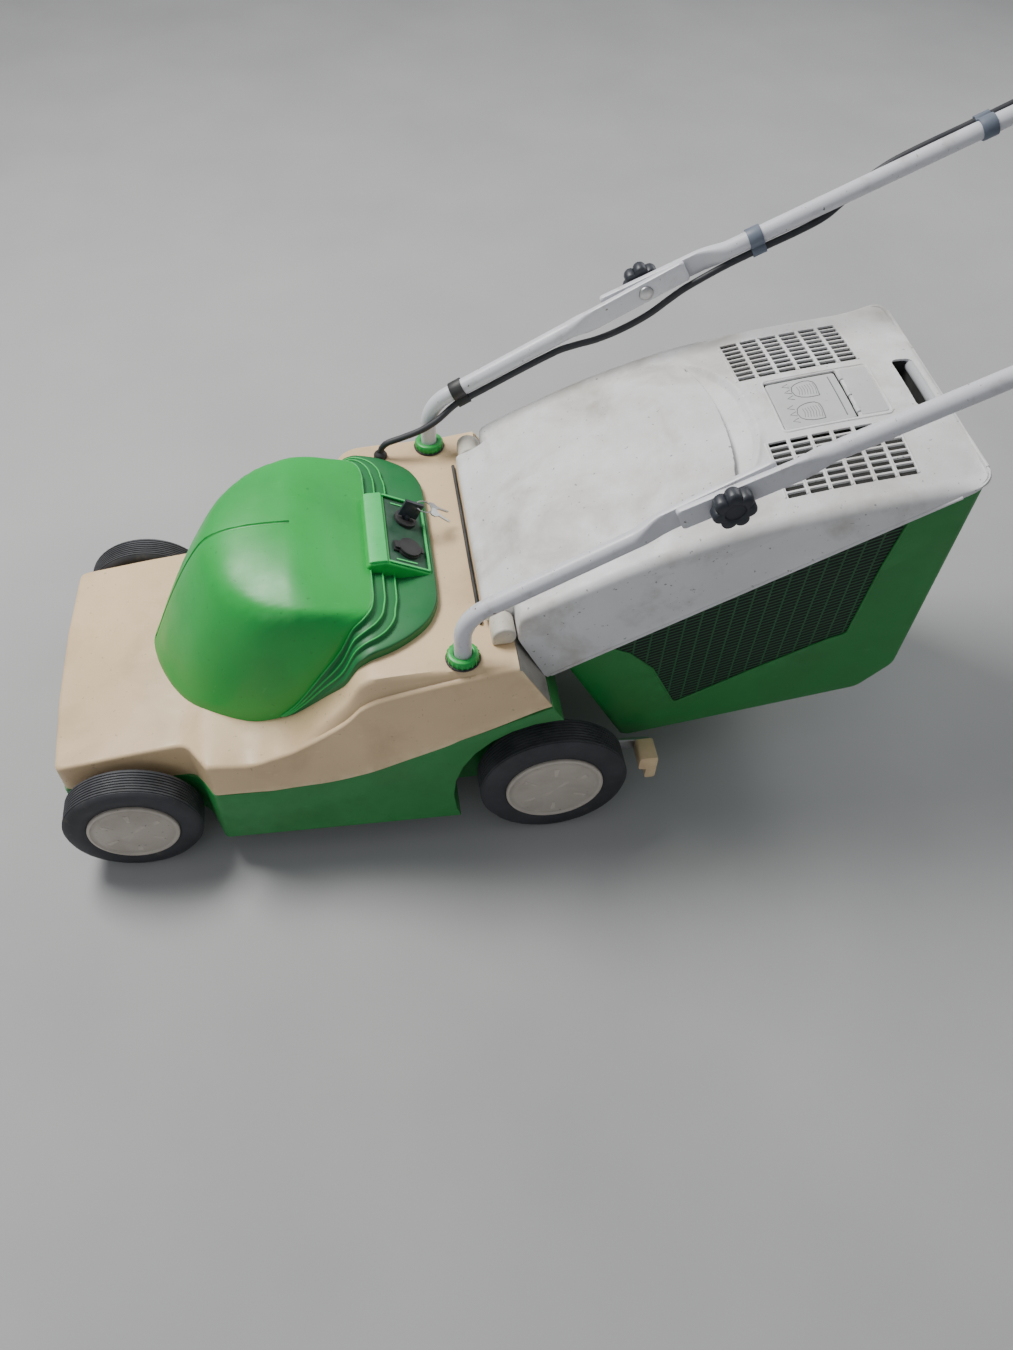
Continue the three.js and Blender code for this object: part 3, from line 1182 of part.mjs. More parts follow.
function makeGrip() {
  const foamRoute = [upperAt(UPPER_LENGTH, -FOAM_L / 2), upperAt(UPPER_LENGTH, FOAM_L / 2)];
  const foamBore = [upperAt(UPPER_LENGTH, -FOAM_L / 2 - 2), upperAt(UPPER_LENGTH, FOAM_L / 2 + 2)];
  piece("grip_foam", tube(foamRoute, FOAM_D, 18).subtract(tube(foamBore, TUBE_D + 2 * GAP, 14)), BLACK());

  // Switch box round the right tube, with the start button on top and the bail's socket at its side.
  const boxIn = tubeY - SWITCH_IN;
  const shell = handleBox(SWITCH_AT, SWITCH_AT + SWITCH_L, boxIn, tubeY + 20, -20, 42, 10);
  const boxRun = [upperAt(SWITCH_AT - 5, tubeY), upperAt(SWITCH_AT + SWITCH_L + 5, tubeY)];
  const tubeBore = tube(boxRun, TUBE_D + 2 * GAP, 14);
  const buttonBore = handleRod(SWITCH_AT + 24, boxIn + 26, 20, BUTTON_D / 2 + 0.8, 60);
  const bailBore = rodAcross(BAIL_AT, BAIL_OFF, BAIL_D / 2 + 0.6, boxIn - 5, boxIn + 22);
  piece("switch_box", without(shell, [tubeBore, buttonBore, bailBore]), BLACK());
  piece("start_button", handleRod(SWITCH_AT + 24, boxIn + 26, 27.5, BUTTON_D / 2, 48, 18), GREEN());
  // The bail pivots in the switch box and in a bracket on the left tube.
  const bracket = joined([
    handleBox(BAIL_AT - 14, BAIL_AT + 14, -tubeY - 16, -tubeY + 16, -16, 20, 6),
    handleBox(BAIL_AT - 10, BAIL_AT + 10, -tubeY + 3, -tubeY + 21, 0, BAIL_OFF + 9, 6),
  ]);
  const bracketBore = tube([upperAt(BAIL_AT - 20, -tubeY), upperAt(BAIL_AT + 20, -tubeY)], TUBE_D + 2 * GAP, 14);
  const pinBore = rodAcross(BAIL_AT, BAIL_OFF, BAIL_D / 2 + 0.6, -tubeY + 8, -tubeY + 30);
  piece("bail_bracket", bracket.subtract(bracketBore).subtract(pinBore), BLACK());
  const inL = -tubeY + 27;
  const inR = boxIn - 6;
  const open = radians(BAIL_OPEN);
  const swing = (r) => [BAIL_AT + r * Math.cos(open), BAIL_OFF + r * Math.sin(open)];
  const bend = (y, r) => {
    const [a, off] = swing(r);
    return upperAt(a, y, off);
  };
  const route = [
    upperAt(BAIL_AT, -tubeY + 10, BAIL_OFF),
    upperAt(BAIL_AT, inL - 4, BAIL_OFF),
    bend(inL, 5),
    bend(inL, BAIL_REACH - 20),
    bend(inL + 6, BAIL_REACH - 6),
    bend(inL + 20, BAIL_REACH),
    bend(inR - 20, BAIL_REACH),
    bend(inR - 6, BAIL_REACH - 6),
    bend(inR, BAIL_REACH - 20),
    bend(inR, 5),
    upperAt(BAIL_AT, inR + 4, BAIL_OFF),
    upperAt(BAIL_AT, boxIn + 20, BAIL_OFF),
  ];
  piece("bail_lever", tube(route, BAIL_D, 10), STEEL());
}

// ---------- cable and clips ----------
const CABLE_IN = tubeY - 7; // the cable's distance from the middle where it lies under the tubes
const LOWER_CLIP_AT = -282; // clips, along the tubes from the pivot
const UPPER_CLIPS_AT = [150, 444];
const CLIP_L = 18;
const CLIP_T = 2.5;
const CLIP_OFF = -14.6;
const CABLE_OUT = tubeY + 16.5; // the cable on the tube's outer side
const CABLE_GAP = 1.2; // between its two lengths, which meet just behind the fold pivot
const cableMeets = (more) => upperAt(71 + more, CABLE_IN, -17 + more * 0.1);
// A clip round the tube and the cable: place(distance, y, off) gives its points.
function clip(name, place, at, cableY, off, material) {
  const stretch = (y, o, more) => [place(at - CLIP_L / 2 - more, y, o), place(at + CLIP_L / 2 + more, y, o)];
  const body = tube(stretch(tubeY, 0, 0), TUBE_D + 2 * CLIP_T, 14).add(
    tube(stretch(cableY, off, 0), CABLE_D + 2 * CLIP_T, 10),
  );
  const cuts = [
    tube(stretch(tubeY, 0, 1), TUBE_D + 2 * GAP, 14),
    tube(stretch(cableY, off, 1), CABLE_D + 3 * GAP, 8),
  ];
  piece(name, without(body, cuts), material);
}
function makeCable() {
  const [exitX, exitY] = CABLE_EXIT;
  const lower = [
    [exitX, exitY, PLATFORM_H - 14],
    [exitX, exitY, PLATFORM_H + 8],
    [exitX + 8, exitY - 2, PLATFORM_H + 23],
    [exitX + 30, exitY - 4, PLATFORM_H + 33],
    [socketX - 14, tubeY - 17, PLATFORM_H + 44],
    [socketX + 10, tubeY - 16, PLATFORM_H + 58],
    lowerAt(LOWER_CLIP_AT - 12, CABLE_IN, CLIP_OFF),
    lowerAt(LOWER_CLIP_AT + 12, CABLE_IN, CLIP_OFF),
    lowerAt(-139, CABLE_IN, -16),
    lowerAt(-110, CABLE_IN, -22),
    lowerAt(-85, CABLE_IN, -29),
    lowerAt(-50, CABLE_IN, -33.5),
    lowerAt(-10, CABLE_IN, -33),
    lowerAt(24, CABLE_IN, -27),
    upperAt(48, CABLE_IN, -20.5),
    cableMeets(0),
  ];
  piece("cable_lower", tube(lower, CABLE_D, 8), BLACK());
  const [near, far] = UPPER_CLIPS_AT;
  const upper = [
    cableMeets(CABLE_GAP),
    upperAt(100, CABLE_IN, -15.5),
    upperAt(near - 11, CABLE_IN, CLIP_OFF),
    upperAt(near + 11, CABLE_IN, CLIP_OFF),
    upperAt(205, CABLE_IN + 1, -15.5),
    upperAt(240, tubeY, -17),
    upperAt(275, tubeY + 11.5, -12.5),
    upperAt(305, CABLE_OUT, -4),
    upperAt(340, CABLE_OUT + 0.5, 2),
    upperAt(far - 11, CABLE_OUT, 3),
    upperAt(far + 11, CABLE_OUT, 3),
    upperAt(560, CABLE_OUT - 1, 6),
    upperAt(600, tubeY + 10, 15),
    upperAt(626, tubeY, 20),
    upperAt(SWITCH_AT - GAP, tubeY - 1, 20),
  ];
  piece("cable_upper", tube(upper, CABLE_D, 8), BLACK());
  clip("cable_clip_lower", lowerAt, LOWER_CLIP_AT, CABLE_IN, CLIP_OFF, BLACK());
  clip("cable_clip_middle", upperAt, near, CABLE_IN, CLIP_OFF, GREY_BLUE());
  clip("cable_clip_upper", upperAt, far, CABLE_OUT, 3, GREY_BLUE());
}

// ---------- calls ----------
makeDeck();
makeSeal();
makeHood();
makeConsole();
makeDrive();
makeWheels();
makeAxles();
makeHandle();
makeCatcher();
makeGrip();
makeCable();

// The origin is the middle of the footprint.
const bounds = new THREE.Box3().setFromObject(group);
const middle = bounds.getCenter(new THREE.Vector3());
group.children.forEach((mesh) => mesh.geometry.translate(-middle.x, -middle.y, 0));

export default group;
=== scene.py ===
"""Looks for the lawn mower: smooth skins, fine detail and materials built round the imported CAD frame."""
import json
import math

import bmesh
import bpy
from mathutils import Matrix, Vector


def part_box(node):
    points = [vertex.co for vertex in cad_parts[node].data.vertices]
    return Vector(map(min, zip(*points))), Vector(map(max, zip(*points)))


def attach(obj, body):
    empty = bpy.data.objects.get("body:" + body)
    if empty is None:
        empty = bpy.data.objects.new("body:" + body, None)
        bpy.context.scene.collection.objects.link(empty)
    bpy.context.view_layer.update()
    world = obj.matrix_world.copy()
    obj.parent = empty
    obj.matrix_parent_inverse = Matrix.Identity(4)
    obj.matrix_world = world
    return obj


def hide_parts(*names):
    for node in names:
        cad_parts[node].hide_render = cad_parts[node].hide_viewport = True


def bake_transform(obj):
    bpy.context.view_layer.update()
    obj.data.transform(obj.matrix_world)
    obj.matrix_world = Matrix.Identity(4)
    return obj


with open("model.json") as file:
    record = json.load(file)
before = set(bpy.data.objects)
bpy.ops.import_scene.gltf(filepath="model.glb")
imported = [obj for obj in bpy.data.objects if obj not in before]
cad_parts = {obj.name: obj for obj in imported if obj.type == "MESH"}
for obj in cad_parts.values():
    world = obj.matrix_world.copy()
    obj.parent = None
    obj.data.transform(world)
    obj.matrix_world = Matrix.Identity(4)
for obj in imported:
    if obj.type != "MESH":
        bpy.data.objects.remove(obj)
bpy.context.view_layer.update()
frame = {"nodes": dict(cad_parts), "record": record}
MM = 0.001
# Making frame: millimetres, with the front axle at x = -400, the middle at y = 0 and the floor at z = 0.
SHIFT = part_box("deck_cover")[0].x - (-0.493)


def P(x, y, z):
    return Vector((x * MM + SHIFT, y * MM, z * MM))


# ---------------------------------------------------------------- curves
def clamp(v, a=0.0, b=1.0):
    return max(a, min(b, v))


def smooth(v):
    v = clamp(v)
    return v * v * (3 - 2 * v)


class Line:
    """A smooth line through (x, value) points that never overshoots (monotone cubic)."""

    def __init__(self, points):
        self.x = [p[0] for p in points]
        self.y = [p[1] for p in points]
        n = len(points)
        d = [(self.y[i + 1] - self.y[i]) / (self.x[i + 1] - self.x[i]) for i in range(n - 1)]
        bends = [0 if a * b <= 0 else 2 * a * b / (a + b) for a, b in zip(d, d[1:])]
        self.m = [d[0]] + bends + [d[-1]]

    def __call__(self, x):
        xs = self.x
        if x <= xs[0]:
            return self.y[0]
        if x >= xs[-1]:
            return self.y[-1]
        i = max(k for k in range(len(xs) - 1) if xs[k] <= x)
        h = xs[i + 1] - xs[i]
        t = (x - xs[i]) / h
        a, b, ma, mb = self.y[i], self.y[i + 1], self.m[i] * h, self.m[i + 1] * h
        return hermite(a, b, ma, mb, t)


def hermite(a, b, ta, tb, t):
    """From a to b, leaving along ta and arriving along tb."""
    return a * ((2 * t - 3) * t * t + 1) + ta * ((t - 2) * t
        + 1) * t + b * (3 - 2 * t) * t * t + tb * (t - 1) * t * t


def circle(n, extra=0):
    """The cosine and sine of n even steps of one turn, and of extra steps after it."""
    return [(math.cos(2 * math.pi * k / n), math.sin(2 * math.pi * k / n)) for k in range(n + extra)]


def resampled(points, step, closed=False):
    """Points about step apart along a 2D line, without its last point."""
    out = []
    for a, b in zip(points, points[1:] + points[:1] if closed else points[1:]):
        a, b = Vector(a), Vector(b)
        count = max(1, round((b - a).length / step))
        out += [tuple(a.lerp(b, k / count)) for k in range(count)]
    return out


def fillet(points, radii, steps):
    """A 2D open line with its inner corners rounded; the same number of points every time."""
    out = [points[0]]
    for i in range(1, len(points) - 1):
        p, a, b = Vector(points[i]), Vector(points[i - 1]), Vector(points[i + 1])
        la, lb = (a - p).length, (b - p).length
        if la < 1e-6 or lb < 1e-6:
            out += [tuple(p)] * (steps[i] + 1)
            continue
        ua, ub = (a - p) / la, (b - p) / lb
        angle = math.acos(clamp(ua.dot(ub), -1, 1))
        cut = min(radii[i] / max(math.tan(angle / 2), 1e-3), la * 0.48, lb * 0.48)
        for k in range(steps[i] + 1):
            t = k / steps[i]
            q = (p + ua * cut) * (1 - t) ** 2 + p * 2 * t * (1 - t) + (p + ub * cut) * t * t
            out.append(tuple(q))
    out.append(points[-1])
    return out


# ---------------------------------------------------------------- meshes
def finish_mesh(mesh, material, sharp=35):
    bm = bmesh.new()
    bm.from_mesh(mesh)
    bmesh.ops.remove_doubles(bm, verts=bm.verts, dist=2e-6)
    bmesh.ops.recalc_face_normals(bm, faces=bm.faces)
    limit = math.radians(sharp)
    for f in bm.faces:
        f.smooth = True
    for e in bm.edges:
        if len(e.link_faces) == 2 and e.calc_face_angle(0) > limit:
            e.smooth = False
    bm.to_mesh(mesh)
    bm.free()
    mesh.materials.clear()
    mesh.materials.append(material)


def new_object(name, data):
    o = bpy.data.objects.new(name, data)
    bpy.context.scene.collection.objects.link(o)
    return o


def baked(o, material, sharp=35):
    """Applies the modifiers of o."""
    deps = bpy.context.evaluated_depsgraph_get()
    mesh = bpy.data.meshes.new_from_object(o.evaluated_get(deps))
    o.modifiers.clear()
    o.data = mesh
    finish_mesh(mesh, material, sharp)
    return o


def from_faces(name, verts, faces, material, sharp=35):
    mesh = bpy.data.meshes.new(name)
    mesh.from_pydata([tuple(v) for v in verts], [], faces)
    finish_mesh(mesh, material, sharp)
    return new_object(name, mesh)


def lofted(name, rows, material, closed=False, sharp=35, caps=()):
    """Rows of points with the same count, joined by quads. caps: indices of rows closed by one face."""
    n = len(rows[0])
    verts = [p for row in rows for p in row]
    faces = []
    for i in range(len(rows) - 1):
        for j in range(n if closed else n - 1):
            k = (j + 1) % n
            faces.append((i * n + j, i * n + k, (i + 1) * n + k, (i + 1) * n + j))
    for c in caps:
        c = c % len(rows)
        faces.append(tuple(c * n + j for j in range(n)))
    return from_faces(name, verts, faces, material, sharp)


def bevelled(o, width, material, segments=2):
    m = o.modifiers.new("edge", "BEVEL")
    m.width = width * MM
    m.segments = segments
    m.limit_method = "ANGLE"
    m.angle_limit = math.radians(35)
    return baked(o, material)


def drawn(name, outline, y0, y1, material, bevel=0, segments=2):
    """A side outline of (x, z) drawn out from y0 to y1."""
    rows = [[P(x, y, z) for x, z in outline] for y in (y0, y1)]
    o = lofted(name, rows, material, closed=True, caps=(0, 1))
    return bevelled(o, bevel, material, segments) if bevel else o


def block(name, x0, x1, y0, y1, z0, z1, material, bevel=0.8):
    return drawn(name, [(x0, z0), (x1, z0), (x1, z1), (x0, z1)], y0, y1, material, bevel)


def turned(name, x, y, z, profile, material, sides=96, side=1, sharp=35):
    """A closed profile of (radius, y) turned about a Y axis; side -1 mirrors it."""
    rows = [[P(x + r * c, y + h * side, z + r * n) for r, h in profile] for c, n in circle(sides, 1)]
    return lofted(name, rows, material, sharp=sharp)


def turned_z(name, x, y, profile, material, sides=64):
    """A closed profile of (radius, z) turned about an upright axis."""
    rows = [[P(x + r * c, y + r * n, z) for r, z in profile] for c, n in circle(sides, 1)]
    return lofted(name, rows, material)


def swept(name, points, radius, material, sides=20, smoothness=0.5):
    """A round tube along points, which are joined by a smooth curve."""
    pts = [Vector(p) for p in points]
    path = []
    for i in range(len(pts) - 1):
        a, b = pts[i], pts[i + 1]
        ta = (pts[i + 1] - pts[i - 1]) * smoothness if i > 0 else (b - a)
        tb = (pts[i + 2] - pts[i]) * smoothness if i + 2 < len(pts) else (b - a)
        long = (b - a).length
        ta, tb = ta.normalized() * long, tb.normalized() * long
        count = max(1, min(12, int(long / 0.006)))
        path += [hermite(a, b, ta, tb, k / count) for k in range(count)]
    path.append(pts[-1])
    rows = []
    side = Vector((0, 1, 0))
    for i, p in enumerate(path):
        d = (path[min(i + 1, len(path) - 1)] - path[max(i - 1, 0)]).normalized()
        u = side - d * side.dot(d)
        if u.length < 1e-3:
            u = Vector((1, 0, 0)) - d * d.x
        u.normalize()
        side = u
        v = d.cross(u)
        rows.append([p + (u * c + v * n) * radius * MM for c, n in circle(sides)])
    return lofted(name, rows, material, closed=True, sharp=50, caps=(0, -1))


# ---------------------------------------------------------------- materials
class Nodes:
    def __init__(self, name):
        self.m = bpy.data.materials.new(name)
        self.m.use_nodes = True
        self.t = self.m.node_tree
        self.bsdf = self.t.nodes["Principled BSDF"]
        self.at = self.add("ShaderNodeTexCoord").outputs["Object"]

    def add(self, kind, **values):
        n = self.t.nodes.new(kind)
        for k, v in values.items():
            setattr(n, k, v)
        return n

    def link(self, a, b):
        self.t.links.new(a, b)

    def put(self, socket, value):
        if isinstance(value, (int, float)):
            socket.default_value = value
        elif isinstance(value, (tuple, list)):
            socket.default_value = (*value, 1) if len(value) == 3 and len(socket.default_value) == 4 else value
        else:
            self.link(value, socket)

    def noise(self, scale, detail=4, rough=0.55, stretch=None, distortion=0.0):
        at = self.at
        if stretch:
            mp = self.add("ShaderNodeMapping")
            mp.inputs["Scale"].default_value = stretch
            self.link(at, mp.inputs["Vector"])
            at = mp.outputs["Vector"]
        n = self.add("ShaderNodeTexNoise")
        self.link(at, n.inputs["Vector"])
        for key, v in (("Scale", scale), ("Detail", detail), ("Roughness", rough), ("Distortion", distortion)):
            n.inputs[key].default_value = v
        return n.outputs["Fac"]

    def span(self, value, a, b, c=0.0, d=1.0):
        n = self.add("ShaderNodeMapRange")
        self.put(n.inputs["Value"], value)
        for key, v in (("From Min", a), ("From Max", b), ("To Min", c), ("To Max", d)):
            n.inputs[key].default_value = v
        return n.outputs["Result"]

    def math(self, op, a, b=0.0):
        n = self.add("ShaderNodeMath", operation=op)
        self.put(n.inputs[0], a)
        self.put(n.inputs[1], b)
        return n.outputs[0]

    def mix(self, fac, a, b):
        n = self.add("ShaderNodeMix", data_type="RGBA")
        self.put(n.inputs["Factor"], fac)
        self.put(n.inputs[6], a)
        self.put(n.inputs[7], b)
        return n.outputs[2]

    def up(self):
        g = self.add("ShaderNodeNewGeometry")
        s = self.add("ShaderNodeSeparateXYZ")
        self.link(g.outputs["Normal"], s.inputs[0])
        return s.outputs["Z"]

    def times(self, a, b):
        return self.math("MULTIPLY", a, b)

    def bump(self, height, strength, distance, before=None):
        n = self.add("ShaderNodeBump")
        self.put(n.inputs["Height"], height)
        n.inputs["Strength"].default_value = strength
        n.inputs["Distance"].default_value = distance
        if before is not None:
            self.link(before, n.inputs["Normal"])
        return n.outputs["Normal"]

    def out(self, color, rough, normal=None, metallic=0.0, coat=0.0):
        self.put(self.bsdf.inputs["Base Color"], color)
        self.put(self.bsdf.inputs["Roughness"], rough)
        self.bsdf.inputs["Metallic"].default_value = metallic
        if coat:
            self.bsdf.inputs["Coat Weight"].default_value = coat
            self.bsdf.inputs["Coat Roughness"].default_value = 0.25
        if normal is not None:
            self.link(normal, self.bsdf.inputs["Normal"])
        return self.m


def plastic(name, base, rough, dust=(0.35, 0.33, 0.30), dusty=0.35, spots=0.3, stain=None, stained=0.0,
        grain=0.25, worn=0.3, coat=0.0):
    """Moulded plastic that has stood in a garage: fading, dust on what faces up, specks, scuffs and rubbed edges,
    with painted shade in its creases.
    """
    n = Nodes(name)
    fade = n.span(n.noise(5, 5, 0.6), 0.3, 0.7)
    color = n.mix(fade, tuple(c * 0.90 for c in base), tuple(min(1, c * 1.08) for c in base))
    if stain:
        blotch = n.span(n.noise(9, 8, 0.62, distortion=0.4), 0.48, 0.72, 0, stained)
        color = n.mix(blotch, color, stain)
    edge = n.add("ShaderNodeNewGeometry").outputs["Pointiness"]
    rubbed = n.span(edge, 0.515, 0.58, 0, worn)
    rubbed = n.times(rubbed, n.span(n.noise(60, 4), 0.35, 0.6))
    color = n.mix(rubbed, color, tuple(min(1, c * 1.5 + 0.06) for c in base))
    film = n.times(n.span(n.up(), 0.2, 0.95), n.span(n.noise(14, 7, 0.65), 0.35, 0.75, 0, dusty))
    color = n.mix(film, color, dust)
    # Painted shade: creases and hollows (low pointiness) are darkened to a quarter of the base colour.
    crease_shade = n.span(edge, 0.485, 0.44, 0, 0.45)
    color = n.mix(crease_shade, color, tuple(c * 0.25 for c in base))
    speck = n.span(n.noise(170, 2, 0.5), 0.70, 0.74, 0, spots)
    color = n.mix(speck, color, tuple(c * 0.3 for c in base))
    scratch = n.span(n.noise(28, 3, 0.5, stretch=(1, 14, 3)), 0.70, 0.73, 0, 0.16)
    color = n.mix(scratch, color, tuple(min(1, c * 1.3 + 0.1) for c in base))
    roughness = n.math("ADD", n.span(n.noise(22, 5), 0.3, 0.7, rough - 0.06, rough + 0.08), n.times(film, 0.5))
    normal = n.bump(n.noise(1500, 2), grain, 0.0001)
    normal = n.bump(n.noise(45, 4), 0.06, 0.0015, normal)
    return n.out(color, roughness, normal, coat=coat)


def metal(name, base, rough, rust):
    """Bare metal with a brushed grain and patches of rust."""
    n = Nodes(name)
    color = n.mix(n.span(n.noise(30, 6), 0.3, 0.7), tuple(c * 0.85 for c in base), base)
    patch = n.span(n.noise(38, 8, 0.65), 0.55, 0.68, 0, rust)
    color = n.mix(patch, color, (0.20, 0.075, 0.03))
    roughness = n.span(n.noise(80, 5, stretch=(1, 6, 1)), 0.3, 0.7, rough - 0.08, rough + 0.12)
    normal = n.bump(n.noise(500, 3, stretch=(1, 8, 1)), 0.15, 0.0001)
    return n.out(color, roughness, normal, metallic=1.0)


CREAM = plastic("cream", (0.74, 0.545, 0.325), 0.40, dust=(0.60, 0.43, 0.25), dusty=0.25, spots=0.4,
    stain=(0.40, 0.25, 0.13), stained=0.42)
CAP = plastic("cap", (0.50, 0.45, 0.39), 0.5, dust=(0.3, 0.27, 0.24), dusty=0.5, spots=0.6,
    stain=(0.26, 0.22, 0.18), stained=0.6)
GREEN = plastic("green", (0.008, 0.37, 0.052), 0.38, dust=(0.03, 0.36, 0.08), dusty=0.18, spots=0.4,
    stain=(0.006, 0.23, 0.035), stained=0.35, worn=0.35, coat=0.08)
GREEN_SIDE = plastic("green_side", (0.018, 0.235, 0.05), 0.42, dust=(0.14, 0.22, 0.10), dusty=0.3, spots=0.35,
    stain=(0.05, 0.12, 0.03), stained=0.4)
LIGHT_GREEN = plastic("light_green", (0.045, 0.53, 0.13), 0.42, dust=(0.08, 0.46, 0.14), dusty=0.12, spots=0.2,
    worn=0.15)
DARK_GREEN = plastic("dark_green", (0.006, 0.060, 0.026), 0.5, dust=(0.06, 0.09, 0.07), dusty=0.4, spots=0.2)
PALE = plastic("pale", (0.74, 0.74, 0.75), 0.40, dust=(0.52, 0.49, 0.45), dusty=0.7, spots=0.85,
    stain=(0.34, 0.30, 0.245), stained=0.8, worn=0.2)
PANEL = plastic("panel", (0.52, 0.525, 0.535), 0.45, dust=(0.4, 0.38, 0.35), dusty=0.3, spots=0.3,
    stain=(0.4, 0.36, 0.3), stained=0.25)
BLACK = plastic("black", (0.016, 0.016, 0.018), 0.5, dust=(0.12, 0.115, 0.105), dusty=0.35, spots=0.1, worn=0.2)
KNOB = plastic("knob", (0.018, 0.022, 0.032), 0.38, dust=(0.12, 0.12, 0.12), dusty=0.25, spots=0.1)
CLIP = plastic("clip", (0.10, 0.125, 0.17), 0.5, dust=(0.25, 0.25, 0.25), dusty=0.3, spots=0.2)
WHEEL = plastic("wheel", (0.42, 0.40, 0.37), 0.5, dust=(0.25, 0.22, 0.2), dusty=0.5, spots=0.5)
INK = plastic("ink", (0.11, 0.115, 0.125), 0.5, dusty=0.1, spots=0.0)
STEEL = metal("steel", (0.52, 0.52, 0.53), 0.38, rust=0.25)
CAST = metal("cast", (0.32, 0.32, 0.33), 0.55, rust=0.1)
FOAM = plastic("foam", (0.014, 0.014, 0.015), 0.85, dust=(0.1, 0.1, 0.1), dusty=0.3, spots=0.1, grain=0.9)
CABLE = plastic("cable", (0.018, 0.02, 0.026), 0.45, dust=(0.12, 0.12, 0.12), dusty=0.3, spots=0.1)
SEAL = plastic("seal", (0.012, 0.012, 0.013), 0.7, dusty=0.25, spots=0.1)
PALE_DIRT = plastic("pale_dirt", (0.42, 0.40, 0.36), 0.6, dust=(0.3, 0.28, 0.25), dusty=0.6, spots=0.9,
    stain=(0.16, 0.14, 0.12), stained=0.8)
# Painted highlight: a lighter copy of the hood's green, for thin tubes along the stair edges.
STEP_HIGHLIGHT = plastic("step", (0.022, 0.44, 0.085), 0.42, dust=(0.06, 0.42, 0.12), dusty=0.2, spots=0.3, worn=0.35)
# Painted shade: a darker copy of the hood's green for the stairs round the dome's rear.
FLANGE_SHADE = plastic("flange", (0.010, 0.17, 0.045), 0.40, dust=(0.05, 0.17, 0.07), dusty=0.3, spots=0.3, worn=0.45)
# Painted shade: near-black for the hollows under the carry slot and the grille.
POCKET_SHADE = plastic("pocket", (0.012, 0.013, 0.012), 0.8, dusty=0.1, spots=0.1)
BAR = plastic("bar", (0.46, 0.48, 0.50), 0.35, dust=(0.4, 0.38, 0.35), dusty=0.3, spots=0.5)
IVORY = plastic("ivory", (0.62, 0.59, 0.52), 0.45, dust=(0.4, 0.36, 0.3), dusty=0.4, spots=0.4,
    stain=(0.3, 0.26, 0.2), stained=0.5)


def paint():
    """The handle's white paint: grime, chips and scuffs."""
    n = Nodes("tube_paint")
    base = (0.66, 0.665, 0.71)
    color = n.mix(n.span(n.noise(12, 5), 0.3, 0.7), tuple(c * 0.93 for c in base), base)
    grime = n.span(n.noise(26, 8, 0.66), 0.56, 0.74, 0, 0.5)
    color = n.mix(grime, color, (0.34, 0.31, 0.28))
    chips = n.span(n.noise(150, 3, 0.5), 0.715, 0.735, 0, 0.9)
    color = n.mix(chips, color, (0.10, 0.085, 0.07))
    scuff = n.span(n.noise(34, 4, 0.55, stretch=(7, 1, 7)), 0.69, 0.73, 0, 0.55)
    color = n.mix(scuff, color, (0.22, 0.21, 0.21))
    roughness = n.span(n.noise(30, 5), 0.3, 0.7, 0.26, 0.42)
    normal = n.bump(n.noise(420, 2), 0.10, 0.0002)
    normal = n.bump(n.times(chips, -1.0), 0.4, 0.0002, normal)
    return n.out(color, roughness, normal)


def rubber():
    """Tyre rubber with dust and dirt on it."""
    n = Nodes("tyre_rubber")
    color = n.mix(n.span(n.noise(14, 6, 0.6), 0.35, 0.7), (0.020, 0.021, 0.025), (0.040, 0.042, 0.050))
    dust = n.times(n.span(n.up(), -0.1, 0.9, 0.25, 1.0), n.span(n.noise(20, 8, 0.7), 0.42, 0.72, 0, 0.55))
    color = n.mix(dust, color, (0.12, 0.12, 0.13))
    dirt = n.span(n.noise(55, 6, 0.6), 0.62, 0.72, 0, 0.5)
    color = n.mix(dirt, color, (0.10, 0.085, 0.065))
    roughness = n.math("ADD", n.span(n.noise(40, 5), 0.3, 0.7, 0.52, 0.68), n.times(dust, 0.3))
    normal = n.bump(n.noise(700, 3), 0.3, 0.0002)
    return n.out(color, roughness, normal)


def slotted(name, base, hole, pitch_x, pitch_z, fill_x, fill_z, slope):
    """The bag's fine mesh: rows of short slots that climb to the rear, between upright bars."""
    n = Nodes(name)
    s = n.add("ShaderNodeSeparateXYZ")
    n.link(n.at, s.inputs[0])
    x = s.outputs["X"]
    z = n.math("SUBTRACT", s.outputs["Z"], n.times(x, math.tan(slope)))
    u = n.math("FRACT", n.times(n.math("ADD", x, 4.0), 1 / pitch_x))
    v = n.math("FRACT", n.times(n.math("ADD", z, 4.0), 1 / pitch_z))
    in_u = n.span(n.math("ABSOLUTE", n.math("SUBTRACT", u, 0.5)), fill_x / 2 + 0.02, fill_x / 2 - 0.02)
    in_v = n.span(n.math("ABSOLUTE", n.math("SUBTRACT", v, 0.5)), fill_z / 2 + 0.08, fill_z / 2 - 0.08)
    slot = n.times(in_u, in_v)
    color = n.mix(n.span(n.noise(9, 6), 0.3, 0.7), tuple(c * 0.7 for c in base), base)
    dirt = n.span(n.noise(18, 8, 0.65), 0.5, 0.75, 0, 0.5)
    color = n.mix(dirt, color, (0.03, 0.06, 0.025))
    color = n.mix(slot, color, hole)
    normal = n.bump(n.times(slot, -1.0), 0.9, 0.0015)
    roughness = n.span(slot, 0, 1, 0.42, 0.8)
    return n.out(color, roughness, normal)


PAINT = paint()
RUBBER = rubber()
MESH = slotted("bag_mesh", (0.012, 0.12, 0.035), (0.004, 0.008, 0.007), 0.0205, 0.0062, 0.88, 0.60,
    math.radians(17))
BAG = plastic("bag", (0.010, 0.215, 0.038), 0.40, dust=(0.06, 0.18, 0.06), dusty=0.2, spots=0.25,
    stain=(0.02, 0.10, 0.02), stained=0.35)


# ---------------------------------------------------------------- placing
BODY = {node: body for body, nodes in frame["record"]["behaviour"]["bodies"].items() for node in nodes}
SLOT = {s["node"]: s["material_slot"] for s in frame["record"]["subparts"]}


